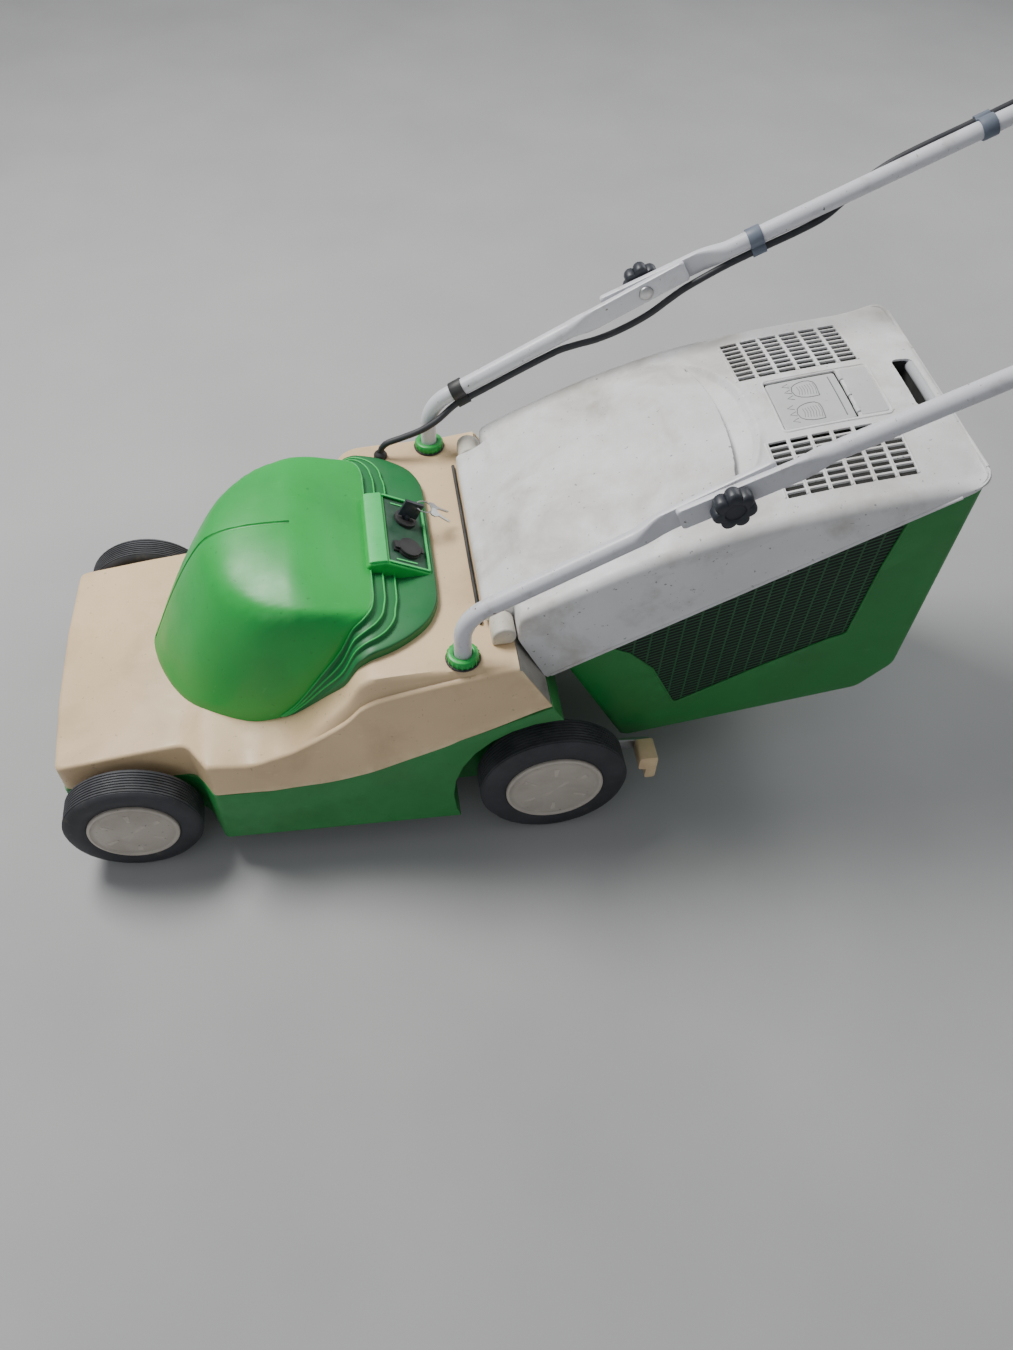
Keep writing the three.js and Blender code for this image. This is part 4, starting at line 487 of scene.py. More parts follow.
def put(o, body, slot=None, *nodes):
    """Rides o on a body and hides the CAD nodes that it stands for."""
    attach(o, body)
    if nodes:
        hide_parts(*nodes)
        slot = slot or SLOT[nodes[0]]
    return o


def skin(node, width, material, segments=2):
    """A copy of a CAD node with its flat triangles merged and its edges rounded."""
    mesh = frame["nodes"][node].data.copy()
    bm = bmesh.new()
    bm.from_mesh(mesh)
    bmesh.ops.remove_doubles(bm, verts=bm.verts, dist=1e-5)
    bmesh.ops.dissolve_limit(bm, angle_limit=math.radians(2), verts=bm.verts, edges=bm.edges)
    bm.to_mesh(mesh)
    bm.free()
    o = bevelled(new_object("skin_" + node, mesh), width, material, segments)
    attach(o, BODY[node])
    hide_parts(node)


def face_up(o):
    """Turns an open sheet's faces so that its upper side faces up."""
    if sum(p.normal.z * p.area for p in o.data.polygons) < 0:
        o.data.flip_normals()
    return o


def cut(o, tool, material):
    """Takes the tool's shape out of o."""
    m = o.modifiers.new("cut", "BOOLEAN")
    m.operation = "DIFFERENCE"
    m.solver = "EXACT"
    m.object = tool
    baked(o, material)
    bpy.data.objects.remove(tool)


def thick(o, t, material):
    """Gives an open sheet a wall of t millimetres below it."""
    m = o.modifiers.new("wall", "SOLIDIFY")
    m.thickness = t * MM
    m.offset = -1
    baked(o, material)


def outline_points(corners, radii, step=6.0):
    """A closed plan outline with rounded corners, resampled evenly. corners go round once."""
    n = len(corners)
    ring = fillet([corners[-1]] + corners + [corners[0]], [0] + radii + [0], [0] + [6] * n + [0])[1:-1]
    return resampled(ring, step, closed=True)


def rounded_box(xa, xb, ya, yb, corner, step):
    return outline_points([(xa, ya), (xb, ya), (xb, yb), (xa, yb)], [corner] * 4, step)


# ---------------------------------------------------------------- deck
DECK_FRONT, DECK_BACK, DECK_TOP = -493, 114, 341  # the cover's two ends and its height at the rear end
RAMP_FOOT = -200.0
MIDDLE = Line([(-493, 168), (-486, 169), (-361, 199), (-290, 206), (-200, 211), (-175, 219), (-152, 236),
    (-126, 262), (-99, 292), (-77, 328), (-57, 336), (114, 341)])
CREASE = Line([(-493, 168), (-486, 169), (-324, 186), (-282, 206), (-233, 200), (-188, 214), (-87, 256),
    (-34, 275), (21, 296), (114, 341)])
FACET = Line([(-188, 226), (-126, 215), (-77, 217), (114, 222)])
PARTING = Line([(-506, 122), (-318, 130), (-284, 149), (-212, 146), (-134, 155), (-15, 196), (89, 238),
    (174, 272)])
CREASE_HALF = 228.0


def deck_z(x, y):
    """The cover's top: crowned in front, and behind the ramp a raised middle with a facet at each side."""
    a = abs(y)
    middle, crease, facet = MIDDLE(x), CREASE(x), FACET(x)
    front = middle + (crease - middle) * min(1, a / CREASE_HALF) ** 2
    past = a - facet
    past = past if past > 5 else (past + 5) ** 2 / 20 if past > -5 else 0
    back = middle + (crease - middle) * min(1, past / (CREASE_HALF - facet))
    t = smooth((x - RAMP_FOOT + 14) / 28)
    return front + (back - front) * t


def deck_rear(z):
    """The leaning rear end's x at a height."""
    return DECK_BACK + 0.58 * (DECK_TOP - max(z, 180))


def make_deck():
    nose_half, radius = 179, 6.0
    half = [(DECK_FRONT, 0), (DECK_FRONT, 60), (-486, nose_half), (-314, nose_half), (-284, CREASE_HALF),
        (DECK_BACK, CREASE_HALF)]
    line = fillet(half, [0, 40, 12, 24, 9, 0], [0, 5, 5, 7, 5, 0])
    dense = resampled(line, 7) + [line[-1]]
    loop = [(x, -y) for x, y in reversed(dense[1:])] + dense

    def inward(x, y, s):
        return x + (1 - s) * nose_half * (DECK_BACK - x) / (DECK_BACK - DECK_FRONT), y * s

    rows = []
    for k in range(7):
        row = []
        for x, y in loop:
            top = deck_z(*inward(x, y, 1 - radius / CREASE_HALF)) - radius
            low = PARTING(x + smooth((x - 20) / 94) * 50)
            z = low + (top - low) * k / 6
            back = clamp((x - 40) / 74) * (deck_rear(z) - DECK_BACK)
            out = 1 + max(0.0, top - z) * 0.08 / CREASE_HALF * smooth((x + 300) / 25)
            row.append(P(x + back, y * out, z))
        rows.append(row)
    for k in range(1, 5):
        a = math.radians(90 * k / 4)
        s = 1 - radius * (1 - math.cos(a)) / CREASE_HALF
        row = []
        for x, y in loop:
            xx, yy = inward(x, y, s)
            edge = deck_z(*inward(x, y, 1 - radius / CREASE_HALF))
            row.append(P(xx, yy, edge - radius * (1 - math.sin(a))))
        rows.append(row)
    shares = [1 - radius / CREASE_HALF - 0.011 * k for k in range(1, 10)] + [0.85 - 0.85 * k / 24
        for k in range(25)]
    for s in shares:
        row = []
        for x, y in loop:
            xx, yy = inward(x, y, s)
            row.append(P(xx, yy, deck_z(xx, yy)))
        rows.append(row)
    o = face_up(lofted("deck_skin", rows, CREAM, sharp=50))
    thick(o, 3, CREAM)
    put(o, "root", None, "deck_cover")
    for s, name in ((-1, "left"), (1, "right")):
        rows = []
        for k in range(8):
            z = PARTING(164) + (DECK_TOP - 4 - PARTING(164)) * k / 7
            wide = CREASE_HALF * (1 + (DECK_TOP - z) * 0.08 / CREASE_HALF) - 1
            across = ((0, 2), (0, 0), (0.12, 0), (0.5, 0), (0.92, 0), (1, 1))
            rows.append([P(deck_rear(z) - 0.5 - 3 * t, s * (151 + (wide - 151) * u), z) for u, t in across])
        end = lofted("deck_end_" + name, rows, CREAM)
        thick(end, 1.5, PALE_DIRT)
        put(end, "root", "cream_plastic")
        rim = swept("deck_end_rim_" + name, [P(deck_rear(z) - 2.5, s * 153, z) for z in (276, 300, 320, 334)],
            3, CREAM)
        put(rim, "root", "cream_plastic")


make_deck()
skin("lower_housing", 1.6, GREEN_SIDE)
skin("rear_seal", 0.8, SEAL)
put(swept("seal_lip", [P(76.5, y, 343) for y in (-149, -75, 0, 75, 149)], 2.4, SEAL, sides=14), "root",
    "black_rubber")

# ---------------------------------------------------------------- motor hood
HX, HOOD_TOP = -165.0, 402
# From the rear middle to the front end: where the dome ends, the flange's outer edge, and the rim's height.
RIM = [((-52, 0), (29, 0), 33), ((-52, 60), (29, 55), 33), ((-52, 104), (28, 99), 33),
    ((-55, 128), (17, 134), 33), ((-68, 147), (-12, 163), 34), ((-88, 155), (-48, 181), 34),
    ((-112, 160), (-84, 189), 30), ((-138, 163), (-122, 178), 22), ((-162, 165), (-150, 171), 12),
    ((-187, 166), (-180, 167), 3)]
INNER_X, INNER_Y, OUTER_X, OUTER_Y = (Line([(i, r[j][k]) for i, r in enumerate(RIM)]) for j in (0, 1)
    for k in (0, 1))
RIM_H = Line([(i, r[2]) for i, r in enumerate(RIM)])
# By the angle from straight ahead: the dome's reach, the height kept at its edge, its flat share and its fall.
REACH = Line([(0, 196), (20, 188), (40, 183), (60, 174), (82.5, 166.6), (91, 163.8), (99.4, 163.8),
    (108.3, 167.2), (116.4, 171.6), (124.1, 175.7), (130.6, 167.5), (137.4, 151.8), (152, 126.3), (166, 114.8),
    (180, 111.5)])
KEEP = Line([(0, 0), (72, 0), (82.5, 0.02), (91, 0.075), (99.4, 0.166), (108.3, 0.31), (116.4, 0.58),
    (124, 0.86), (131, 0.97), (180, 1)])
PLATEAU = Line([(0, 0.46), (25, 0.50), (40, 0.55), (60, 0.65), (81, 0.78), (99, 0.88), (118, 0.94), (130, 0.96),
    (180, 0.97)])
PLATEAU_DROP = 0.085
STEEP = Line([(0, 1.25), (40, 1.35), (60, 1.55), (80, 2.0), (100, 2.5), (180, 2.5)])


def hood_share(share, degrees):
    """The dome's height above the deck, 1 at its middle, at a share of its reach."""
    edge = PLATEAU(degrees)
    if share < edge:
        return 1 - PLATEAU_DROP * (share / edge) ** 3
    past = (share - edge) / max(1.0001 - edge, 0.01)
    start = 1 - PLATEAU_DROP * min(1.0, edge * 2 - 0.9) if degrees > 118 else 1 - PLATEAU_DROP
    return start * (1 - (1 - KEEP(degrees)) * min(1.0, past) ** STEEP(degrees))


def hood_point(share, turn):
    degrees = abs(math.degrees(turn))
    reach = REACH(degrees)
    x, y = HX - math.cos(turn) * share * reach, math.sin(turn) * share * reach
    if share >= 0.999:
        height = hood_share(1.0, degrees)
    else:
        near = hood_share(max(0, share - 0.035), degrees), hood_share(min(1, share + 0.035), degrees)
        height = (near[0] + 2 * hood_share(share, degrees) + near[1]) / 4
    top = HOOD_TOP - 29 * smooth((x - HX - 10) / 120)
    deck = deck_z(x, y)
    return x, y, deck + (top - deck) * height


def make_hood():
    shares = [0.02, 0.1, 0.2, 0.3, 0.36, 0.42, 0.47, 0.52, 0.57, 0.62, 0.67, 0.72, 0.77, 0.81, 0.85, 0.88, 0.91,
        0.935, 0.955, 0.975, 0.99, 1.0]
    turns = [2 * math.pi * i / 144 - math.pi for i in range(144)]
    rows = [[P(*hood_point(s, t)) for t in turns] for s in shares]
    feet = [hood_point(1.0, t)[:2] for t in turns]
    rows.append([P(x, y, deck_z(x, y) - 3) for x, y in feet])
    hood = lofted("hood_dome", rows, GREEN, closed=True, sharp=60, caps=(0, -1))
    groove = []
    for x in (-358, -344, -330, -315, -300, -286, -272, -260, -246, -230, -212, -190, -172, -158, -148):
        turn = 0.0 if x < HX else math.pi
        _, _, z = hood_point(abs(x - HX) / REACH(math.degrees(turn)), turn)
        groove.append(P(x, 0, z + 0.9))
    cut(hood, swept("groove_tool", groove, 3.0, GREEN, sides=16), GREEN)
    put(hood, "root", None, "motor_hood")
    # Stairs from the dome's rim down to the flange, round the rear and along both sides.
    for s in (-1, 1):
        rows, highlight_lines = [], [[], [], []]
        for i in range(73):
            t = 9 * i / 72
            inner, outer = Vector((INNER_X(t), INNER_Y(t))), Vector((OUTER_X(t), OUTER_Y(t)))
            h, wide = RIM_H(t), (outer - inner).length
            round_side = smooth((t - 2.5) / 2.5)
            first = 14.5 / 81 + (0.30 - 14.5 / 81) * round_side
            second = 29 / 81 + (0.62 - 29 / 81) * round_side
            soft = 1.4 / max(wide, 8)

            def at(f, height):
                q = inner.lerp(outer, f)
                return P(q.x, s * q.y, deck_z(q.x, q.y) + height)

            steps = [(-4 / max(wide, 20), h - 3), (-2.4 / max(wide, 20), h + 0.2), (0, h),
                (soft * 0.8, h - 1.6)]
            steps += [(soft * 1.6, h * 0.80 + 0.6), (soft * 4, h * 0.78), (first - soft, h * 0.77),
                (first, h * 0.75)]
            steps += [(first + soft * 0.8, h * 0.75 - 1.6), (first + soft * 1.6, h * 0.59),
                (first + soft * 4, h * 0.57)]
            steps += [(second - soft, h * 0.56), (second, h * 0.54), (second + soft * 0.8, h * 0.54 - 1.5)]
            steps += [(second + soft * 1.8, h * 0.39), (second + soft * 5, h * 0.372), (1 - 2 * soft, h * 0.37)]
            steps += [(1 - soft * 0.5, h * 0.34), (1, h * 0.27), (1, -2)]
            rows.append([at(*step) for step in steps])
            for k, f, share in ((0, 0.0, 1.0), (1, first, 0.765), (2, second, 0.555)):
                if 3.2 * h > 8:
                    highlight_lines[k].append(at(f - 0.2 * soft, h * share + 0.25))
        # Painted shade: the stairs take the darker copy of the green.
        put(lofted("hood_stairs_%d" % (s + 1), rows, FLANGE_SHADE, sharp=50), "root", "green_plastic")
        # Painted highlight: thin light-green tubes along the dome's rim and each stair edge.
        for k, pts in enumerate(highlight_lines):
            put(swept("hood_rim_highlight_%d_%d" % (s + 1, k), pts, 1.15, STEP_HIGHLIGHT, sides=10), "root", "green_plastic")


def make_console():
    def part(name, outline, y0, y1, material, bevel):
        put(drawn(name, outline, y0, y1, material, bevel), "root", "green_plastic")

    wedge = drawn("console_wedge", [(-58, 345), (-58, 371), (-53, 378), (-31, 379), (25, 351), (25, 342)], -66,
        66, GREEN, 2.5, 3)
    cut(wedge, drawn("pocket", [(-27, 385), (-27, 373.5), (21, 349.5), (21, 365)], -61, 61, GREEN), GREEN)
    put(wedge, "root", "green_plastic")
    strip = [(-53, 377.6), (-53, 380.4), (-49, 381.6), (-32, 381.8), (-29.5, 380.6), (-29.5, 377.6)]
    part("console_strip", strip, -64, 64, LIGHT_GREEN, 0.9)
    part("console_panel", [(-26.4, 373.4), (-26.4, 375.0), (20.4, 351.6), (20.4, 350.0)], -60, 60, DARK_GREEN,
        0.5)
    rim = [(-28, 378.2), (-28, 380.2), (23.5, 354.4), (23.5, 352.4)]
    for i, y in enumerate((-61.8, 61.8)):
        part("console_rim_%d" % i, rim, y - 1.6, y + 1.6, LIGHT_GREEN, 0.7)
    part("console_rim_low", [(20.8, 353.5), (21.8, 356.2), (24.4, 355.0), (24.4, 350)], -63, 63, LIGHT_GREEN,
        0.7)
    mark = [(-18, 371.4), (-18, 371.9), (8, 358.9), (8, 358.4)]
    for i, y in enumerate((-52, 52)):
        part("console_mark_%d" % i, mark, y - 1.2, y + 1.2, LIGHT_GREEN, 0.2)


make_hood()
make_console()
for side in ("left", "right"):
    skin("hood_screw_" + side, 0.5, STEEL)
skin("key_switch", 0.8, BLACK)
skin("key", 1.0, KNOB)
skin("charge_socket", 0.8, BLACK)
skin("charge_cap", 1.0, BLACK)
TILT = 0.48603  # of the console's panel


def on_panel(a, y, h):
    """A point on the panel: a down its slope, h out from it."""
    return P(-2.5 + a * math.cos(TILT) + h * math.sin(TILT), y, 360.5 - a * math.sin(TILT) + h * math.cos(TILT))


def ring_of(name, centre, u, v, radius, wire, material, body, slot):
    """A wire ring round centre, in the plane of u and v."""
    rows = []
    for c, n in circle(36):
        p = centre + (u * c + v * n) * radius * MM
        out, w = (p - centre).normalized(), u.cross(v)
        rows.append([p + (out * cb + w * nb) * wire * MM for cb, nb in circle(10)])
    put(lofted(name, rows + rows[:1], material, closed=True, sharp=60), body, slot)


def make_keys():
    hang = on_panel(7, 26, 29)
    u, v = Vector((0.93, 0.1, -0.35)).normalized(), Vector((0.1, -0.99, 0.0)).normalized()
    ring_of("key_ring", hang + Vector((0.008, 0.003, -0.002)), u, v, 11, 0.9, STEEL, "key", "bare_steel")
    for i, (dy, turn) in enumerate(((6, 0.16), (-4, -0.22))):
        start = hang + Vector((0.016, dy * MM, -0.003))
        d = Vector((math.cos(turn) * 0.80, math.sin(turn) * 0.8, -0.58)).normalized()
        w = Vector((-math.sin(turn), math.cos(turn), 0))
        up = w.cross(d)
        outline = [(0, -8), (4, -11), (12, -11), (17, -7), (20, -3.6), (46, -3.6), (50, 0), (47, 2.2),
            (44, 1.2), (41, 2.6), (38, 1.4), (35, 2.8), (31, 1.2), (28, 3.6), (20, 3.6), (17, 7), (12, 11),
            (4, 11), (0, 8)]
        rows = [[start + d * (a * 0.62 * MM) + w * (b * 0.62 * MM) + up * (h * MM) for a, b in outline]
            for h in (-0.9, 0.9)]
        key = lofted("spare_key_%d" % i, rows, STEEL, closed=True, caps=(0, 1))
        bevelled(key, 0.3, STEEL)
        put(key, "key", "bare_steel")


make_keys()

# ---------------------------------------------------------------- handle
PX, PZ = 338.0, 570.547  # the fold pivot
UP, LOW = ((math.cos(math.radians(a)), math.sin(math.radians(a))) for a in (25.2, 28.8))
NORMAL_UP = Vector((-UP[1], 0, UP[0]))
TUBE_R, TUBE_X, TUBE_Y = 11, 48, 200  # the tube, and where it leaves the deck
GRIP = 850  # from the pivot up to the grip bar


def upper_at(s, y, off=0.0):
    """A point s up the upper handle from the pivot, off above it."""
    return (PX + UP[0] * s - UP[1] * off, y, PZ + UP[1] * s + UP[0] * off)


def lower_at(s, y, off=0.0):
    return (PX + LOW[0] * s - LOW[1] * off, y, PZ + LOW[1] * s + LOW[0] * off)


def superellipse(centre, w, y, a, b, power, sides=28):
    out = []
    for c, s in circle(sides):
        r = (abs(c) ** power + abs(s) ** power) ** (-1 / power)
        out.append(centre + (w * c * r * a + y * s * r * b) * MM)
    return out


def section(centre, ahead, a, b, power):
    """A superellipse: a = half width square to Y, b = half thickness along Y."""
    y = Vector((0, 1, 0))
    y = (y - ahead * y.dot(ahead)).normalized()
    return superellipse(centre, y.cross(ahead).normalized(), y, a, b, power)


def back_section(centre, a, b, power):
    """The same for the leg on which the loft comes back down."""
    return superellipse(centre, -NORMAL_UP, Vector((0, -1, 0)), a, b, power)


def round_section(centre, d, radius, sides=28):
    """Starts at the same corner as section(), so that the loft doesn't twist."""
    w = NORMAL_UP
    y = d.cross(w).normalized()
    return [centre - (w * c + y * n) * radius * MM for c, n in circle(sides)]


def flat_profile(s, from_s, to_s, end, round_y, flat_y):
    """Half width, half thickness, power and Y of a tube pressed flat past from_s, ending round at end."""
    t = smooth((s - from_s) / (to_s - from_s))
    a = TUBE_R + 3.4 * t
    b = TUBE_R + (4.62 - TUBE_R) * t
    left = abs(end) - abs(s) if s * end > 0 else 99
    if left < 4:
        a -= 4 - math.sqrt(max(0.0, 16 - (4 - left) ** 2))
        b -= 0.6 * (1 - left / 4)
    return a, b, 2 + 4.0 * t, round_y + (flat_y - round_y) * t


def make_tubes():
    for side, name in ((-1, "left"), (1, "right")):
        path = [(P(TUBE_X, side * TUBE_Y, z), Vector((0, 0, 1)), TUBE_R, TUBE_R, 2)
            for z in (250, 320, 350, 378)]
        for k in range(1, 15):
            a = math.radians(61.2 * k / 14)
            p = P(TUBE_X + 56 - 56 * math.cos(a), side * TUBE_Y, 378 + 56 * math.sin(a))
            path.append((p, Vector((math.sin(a), 0, math.cos(a))), TUBE_R, TUBE_R, 2))
        ahead = Vector((LOW[0], 0, LOW[1]))
        for s in [-285, -200, -140, -112, -106, -100, -94, -88, -82, -76, -70, -64, -58, -40, 0, 30, 43, 47, 51,
                54, 56, 57.3, 57.9]:
            a, b, power, y = flat_profile(s, -114, -72, 58.0, TUBE_Y, TUBE_Y - 5)
            path.append((P(*lower_at(s, side * y)), ahead, a, b, power))
        rows = [section(*q) for q in path]
        put(lofted("lower_tube_skin_" + name, rows, PAINT, closed=True, sharp=50, caps=(0, -1)), "root", None,
            "lower_tube_" + name)
    ahead = Vector((UP[0], 0, UP[1]))
    half = []
    for s in [-57.9, -57.3, -56, -54, -51, -47, -43, -30, 0, 40, 66, 72, 78, 84, 90, 96, 102, 108, 114, 130,
            300, 500, 700, 788]:
        a, b, power, y = flat_profile(-s, -116, -74, 58.0, TUBE_Y, TUBE_Y + 5)
        half.append((s, y, a, b, power))
    rows = [section(P(*upper_at(s, -y)), ahead, a, b, power) for s, y, a, b, power in half]
    corner = []
    for k in range(1, 13):
        t = math.radians(90 * k / 12)
        corner.append((GRIP - 62 + 62 * math.sin(t), 62 - TUBE_Y - 62 * math.cos(t), t))
    for s, y, t in corner:
        d = (ahead * math.cos(t) + Vector((0, math.sin(t), 0))).normalized()
        rows.append(round_section(P(*upper_at(s, y)), d, TUBE_R))
    for y in (-60, 0, 60):
        rows.append(round_section(P(*upper_at(GRIP, y)), Vector((0, 1, 0)), TUBE_R))
    for s, y, t in reversed(corner):
        d = (-ahead * math.cos(t) + Vector((0, math.sin(t), 0))).normalized()
        rows.append(round_section(P(*upper_at(s, -y)), d, TUBE_R))
    for s, y, a, b, power in reversed(half):
        rows.append(back_section(P(*upper_at(s, y)), a, b, power))
    put(lofted("upper_handle_skin", rows, PAINT, closed=True, sharp=50, caps=(0, -1)), "handle", None,
        "upper_handle")


make_tubes()


def make_ferrules():
    for side, name in ((-1, "left"), (1, "right")):
        profile = [(11.35, 322), (18.4, 322), (18.5, 338), (18.9, 340.5), (19.7, 343), (19.9, 346), (19.6, 349),
            (18.4, 351.2), (16.6, 352), (13.6, 352.2), (12.2, 351.4), (11.4, 350), (11.35, 322)]
        x, y = TUBE_X, side * TUBE_Y
        put(turned_z("ferrule_skin_" + name, x, y, profile, GREEN), "root", None, "ferrule_" + name)
        for k in range(20):
            a = 2 * math.pi * (k + 0.5) / 20
            c, n = math.cos(a), math.sin(a)
            rows = []
            for r, z in ((19.0, 340.6), (20.5, 341.4), (20.6, 348.2), (19.0, 349.4)):
                rows.append([P(x + c * r - n * w, y + n * r + c * w, z) for w in (-1.1, 0, 1.1)])
            rib = lofted("ferrule_rib_%s_%d" % (name, k), rows, GREEN, sharp=80)
            put(rib, "root", "green_plastic")
        foot = [(19.6, 339), (21.2, 339.2), (21.8, 341.2), (21.2, 342.2), (19.8, 342.4)]
        put(turned_z("ferrule_shadow_" + name, x, y, foot, BLACK), "root", "black_plastic")


def make_knobs():
    for side, name in ((-1, "left"), (1, "right")):
        levels = [(0.50, 0.2), (0.94, 0.4), (1.0, 2.4), (1.0, 13.0), (0.965, 15.6), (0.88, 17.2), (0.74, 17.9),
            (0.52, 18.0), (0.48, 17.4), (0.44, 15.6), (0.25, 15.4), (0.02, 15.4)]
        rows = []
        for scale, h in levels:
            row = []
            deep = 5.6 * smooth((scale - 0.5) / 0.4)
            for k in range(168):
                a = 2 * math.pi * k / 168
                lobe = abs(math.cos(3.5 * a))
                r = 25 * scale - deep * (1 - lobe ** 0.75)
                row.append(P(PX + r * math.cos(a), side * (211.2 + h), PZ + r * math.sin(a)))
            rows.append(row)
        knob = lofted("star_knob_skin_" + name, rows, KNOB, closed=True, sharp=38, caps=(0, -1))
        put(knob, "knob_" + name, None, "star_knob_" + name)
        skin("clamp_bolt_" + name, 0.4, STEEL)


make_ferrules()
make_knobs()


def make_cable():
    lower = [(-23, 188, 324), (-23, 188, 346), (-15, 186, 361), (7, 184, 371), (34, 183, 382), (58, 184, 396),
        lower_at(-294, 193, -14.6), lower_at(-270, 193, -14.6), lower_at(-139, 193, -16),
        lower_at(-110, 193, -22), lower_at(-85, 193, -29), lower_at(-50, 193, -33.5), lower_at(-10, 193, -33),
        lower_at(24, 193, -27), upper_at(48, 193, -20.5)]
    upper = [upper_at(100, 193, -15.5), upper_at(139, 193, -14.6), upper_at(161, 193, -14.6),
        upper_at(205, 194, -15.5), upper_at(240, 200, -17), upper_at(275, 211.5, -12.5),
        upper_at(305, 216.5, -4), upper_at(340, 217, 2), upper_at(433, 216.5, 3), upper_at(455, 216.5, 3),
        upper_at(560, 215.5, 6), upper_at(600, 210, 15), upper_at(626, 200, 20), upper_at(641, 199, 20)]
    o = swept("cable", [P(*q) for q in lower + upper], 4.5, CABLE, sides=16)
    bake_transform(o)
    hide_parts("cable_lower", "cable_upper")
    boot = [(4.6, 336), (9.5, 337), (9.5, 342), (8.2, 344.5), (6.2, 346), (4.6, 348)]
    put(turned_z("cable_grommet", -23, 188, boot, BLACK), "root", "black_plastic")


make_cable()
skin("cable_clip_lower", 0.7, BLACK)
skin("cable_clip_middle", 0.7, CLIP)
skin("cable_clip_upper", 0.7, CLIP)
skin("switch_box", 4.0, BLACK, 3)
skin("start_button", 1.6, GREEN)
skin("bail_bracket", 2.5, BLACK)


def make_bail():
    open_at = math.radians(28)
    inner_l, inner_r, box_in, reach = -173, 132, 138, 120

    def bend(y, r):
        return P(*upper_at(690 + r * math.cos(open_at), y, 30 + r * math.sin(open_at)))

    path = [(inner_l, 5), (inner_l, 50), (inner_l, reach - 20), (inner_l + 6, reach - 6), (inner_l + 20, reach)]
    path += [(inner_l + 100, reach), (inner_r - 100, reach)]
    path += [(inner_r - 20, reach), (inner_r - 6, reach - 6), (inner_r, reach - 20), (inner_r, 50),
        (inner_r, 5)]
    ends = [P(*upper_at(690, y, 30)) for y in (-190, inner_l - 4, inner_r + 4, box_in + 20)]
    pts = ends[:2] + [bend(y, r) for y, r in path] + ends[2:]
    put(swept("bail_skin", pts, 4.5, STEEL, sides=18, smoothness=0.45), "bail", None, "bail_lever")


make_bail()


def make_foam():
    rows, half = [], 130
    ahead = Vector((UP[0], 0, UP[1]))

    def ring(y, r):
        return [P(*upper_at(GRIP, y)) + (NORMAL_UP * c + ahead * n) * r * MM for c, n in circle(48)]

    for k in range(61):
        t = k / 60
        y = -half + 2 * half * t
        edge = min(t, 1 - t) * 2 * half
        r = 15.9 - 2.2 * (1 - smooth(edge / 3.5)) + 0.12 * math.sin(k * 1.9) + 0.1 * math.sin(k * 0.53 + 1)
        rows.append(ring(y, r))
    inner = [ring(y, TUBE_R + 0.2) for y in (half, -half)]
    o = lofted("grip_skin", rows + inner + [rows[0]], FOAM, closed=True, sharp=60)
    put(o, "handle", None, "grip_foam")


make_foam()

# ---------------------------------------------------------------- wheels
def make_wheels():
    for end, x, radius, w, track in (("front", -400, 90, 45, 477), ("rear", 166, 102, 48, 506)):
        seat, out = radius * 0.66, track / 2 - 2
        for side, s in (("left", -1), ("right", 1)):
            name, body = end + "_" + side, "wheel_" + end + "_" + side
            profile = [(seat, -w), (seat + 2, -w), (seat + 4, -w + 0.8), (radius * 0.82, -w)]
            profile += [(radius - 9, -w + 0.6), (radius - 4, -w + 2.6), (radius - 1.4, -w + 5.5)]
            ribs, band = 8, w - 12
            for k in range(ribs):
                a = -w + 6 + band * k / ribs
                step = band / ribs
                ridge = ((1.5, 0.04), (0.1, 0.16), (0, 0.45), (0.1, 0.72), (1.5, 0.84))
                profile += [(radius - deep, a + step * f) for deep, f in ridge]
            profile += [(radius - 1.4, -5.5), (radius - 4, -2.6), (radius - 9, -0.6), (radius * 0.82, 0),
                (seat + 5, -0.6), (seat + 3.4, -1.5), (seat + 1, -1.5), (seat, -2.4), (seat, -w)]
            put(turned("tyre_skin_" + name, x, s * out, radius, profile, RUBBER, sides=120, side=s, sharp=42),
                body, None, "tyre_" + name)
            rim = seat - 0.35
            web = [(6.4, -w + 2), (14.2, -w + 2), (15, -w + 3), (15, -w / 2 - 5), (rim - 5, -w / 2 - 5),
                (rim - 5, -w + 3.6), (rim - 4.2, -w + 3), (rim, -w + 3), (rim, -7), (6.4, -12), (6.4, -w + 2)]
            put(turned("wheel_skin_" + name, x, s * out, radius, web, WHEEL, side=s), body, None, "wheel_body_"
                + name)
            cap = [(0.02, -4), (rim * 0.8, -6.6), (rim, -6.6), (rim + 0.2, 0.2), (rim - 0.6, 1.5),
                (rim - 2.0, 2.0), (rim - 3.6, 1.9), (rim - 4.6, 1.0), (rim - 6.2, 0.3), (rim * 0.84, 0.3),
                (rim * 0.80, 1.0), (rim * 0.77, 1.3), (rim * 0.4, 1.6), (rim * 0.3, 1.9), (0.02, 2.0)]
            put(turned("cap_skin_" + name, x, s * out, radius, cap, CAP, side=s, sharp=30), body, None,
                "hub_cap_" + name)
            for k in range(6):
                a = 2 * math.pi * (k + 0.5) / 6
                c, n = math.cos(a), math.sin(a)
                bar = ((-1, 1.0), (-0.7, 1.9), (0.7, 1.9), (1, 1.0))
                rows = []
                for r, wide in ((rim * 0.46, 2.4), (rim * 0.74, 4.4)):
                    rows.append([P(x + c * r - n * q * wide, s * (out + h), radius + n * r + c * q * wide)
                        for q, h in bar])
                rib = lofted("cap_rib_%s_%d" % (name, k), rows, CAP, closed=True, caps=(0, 1))
                put(rib, body, "wheel_plastic")


make_wheels()
skin("front_axle", 0.6, STEEL)
skin("rear_axle", 0.6, STEEL)
skin("height_lever", 0.8, STEEL)
skin("height_lever_grip", 2.2, CREAM, 3)

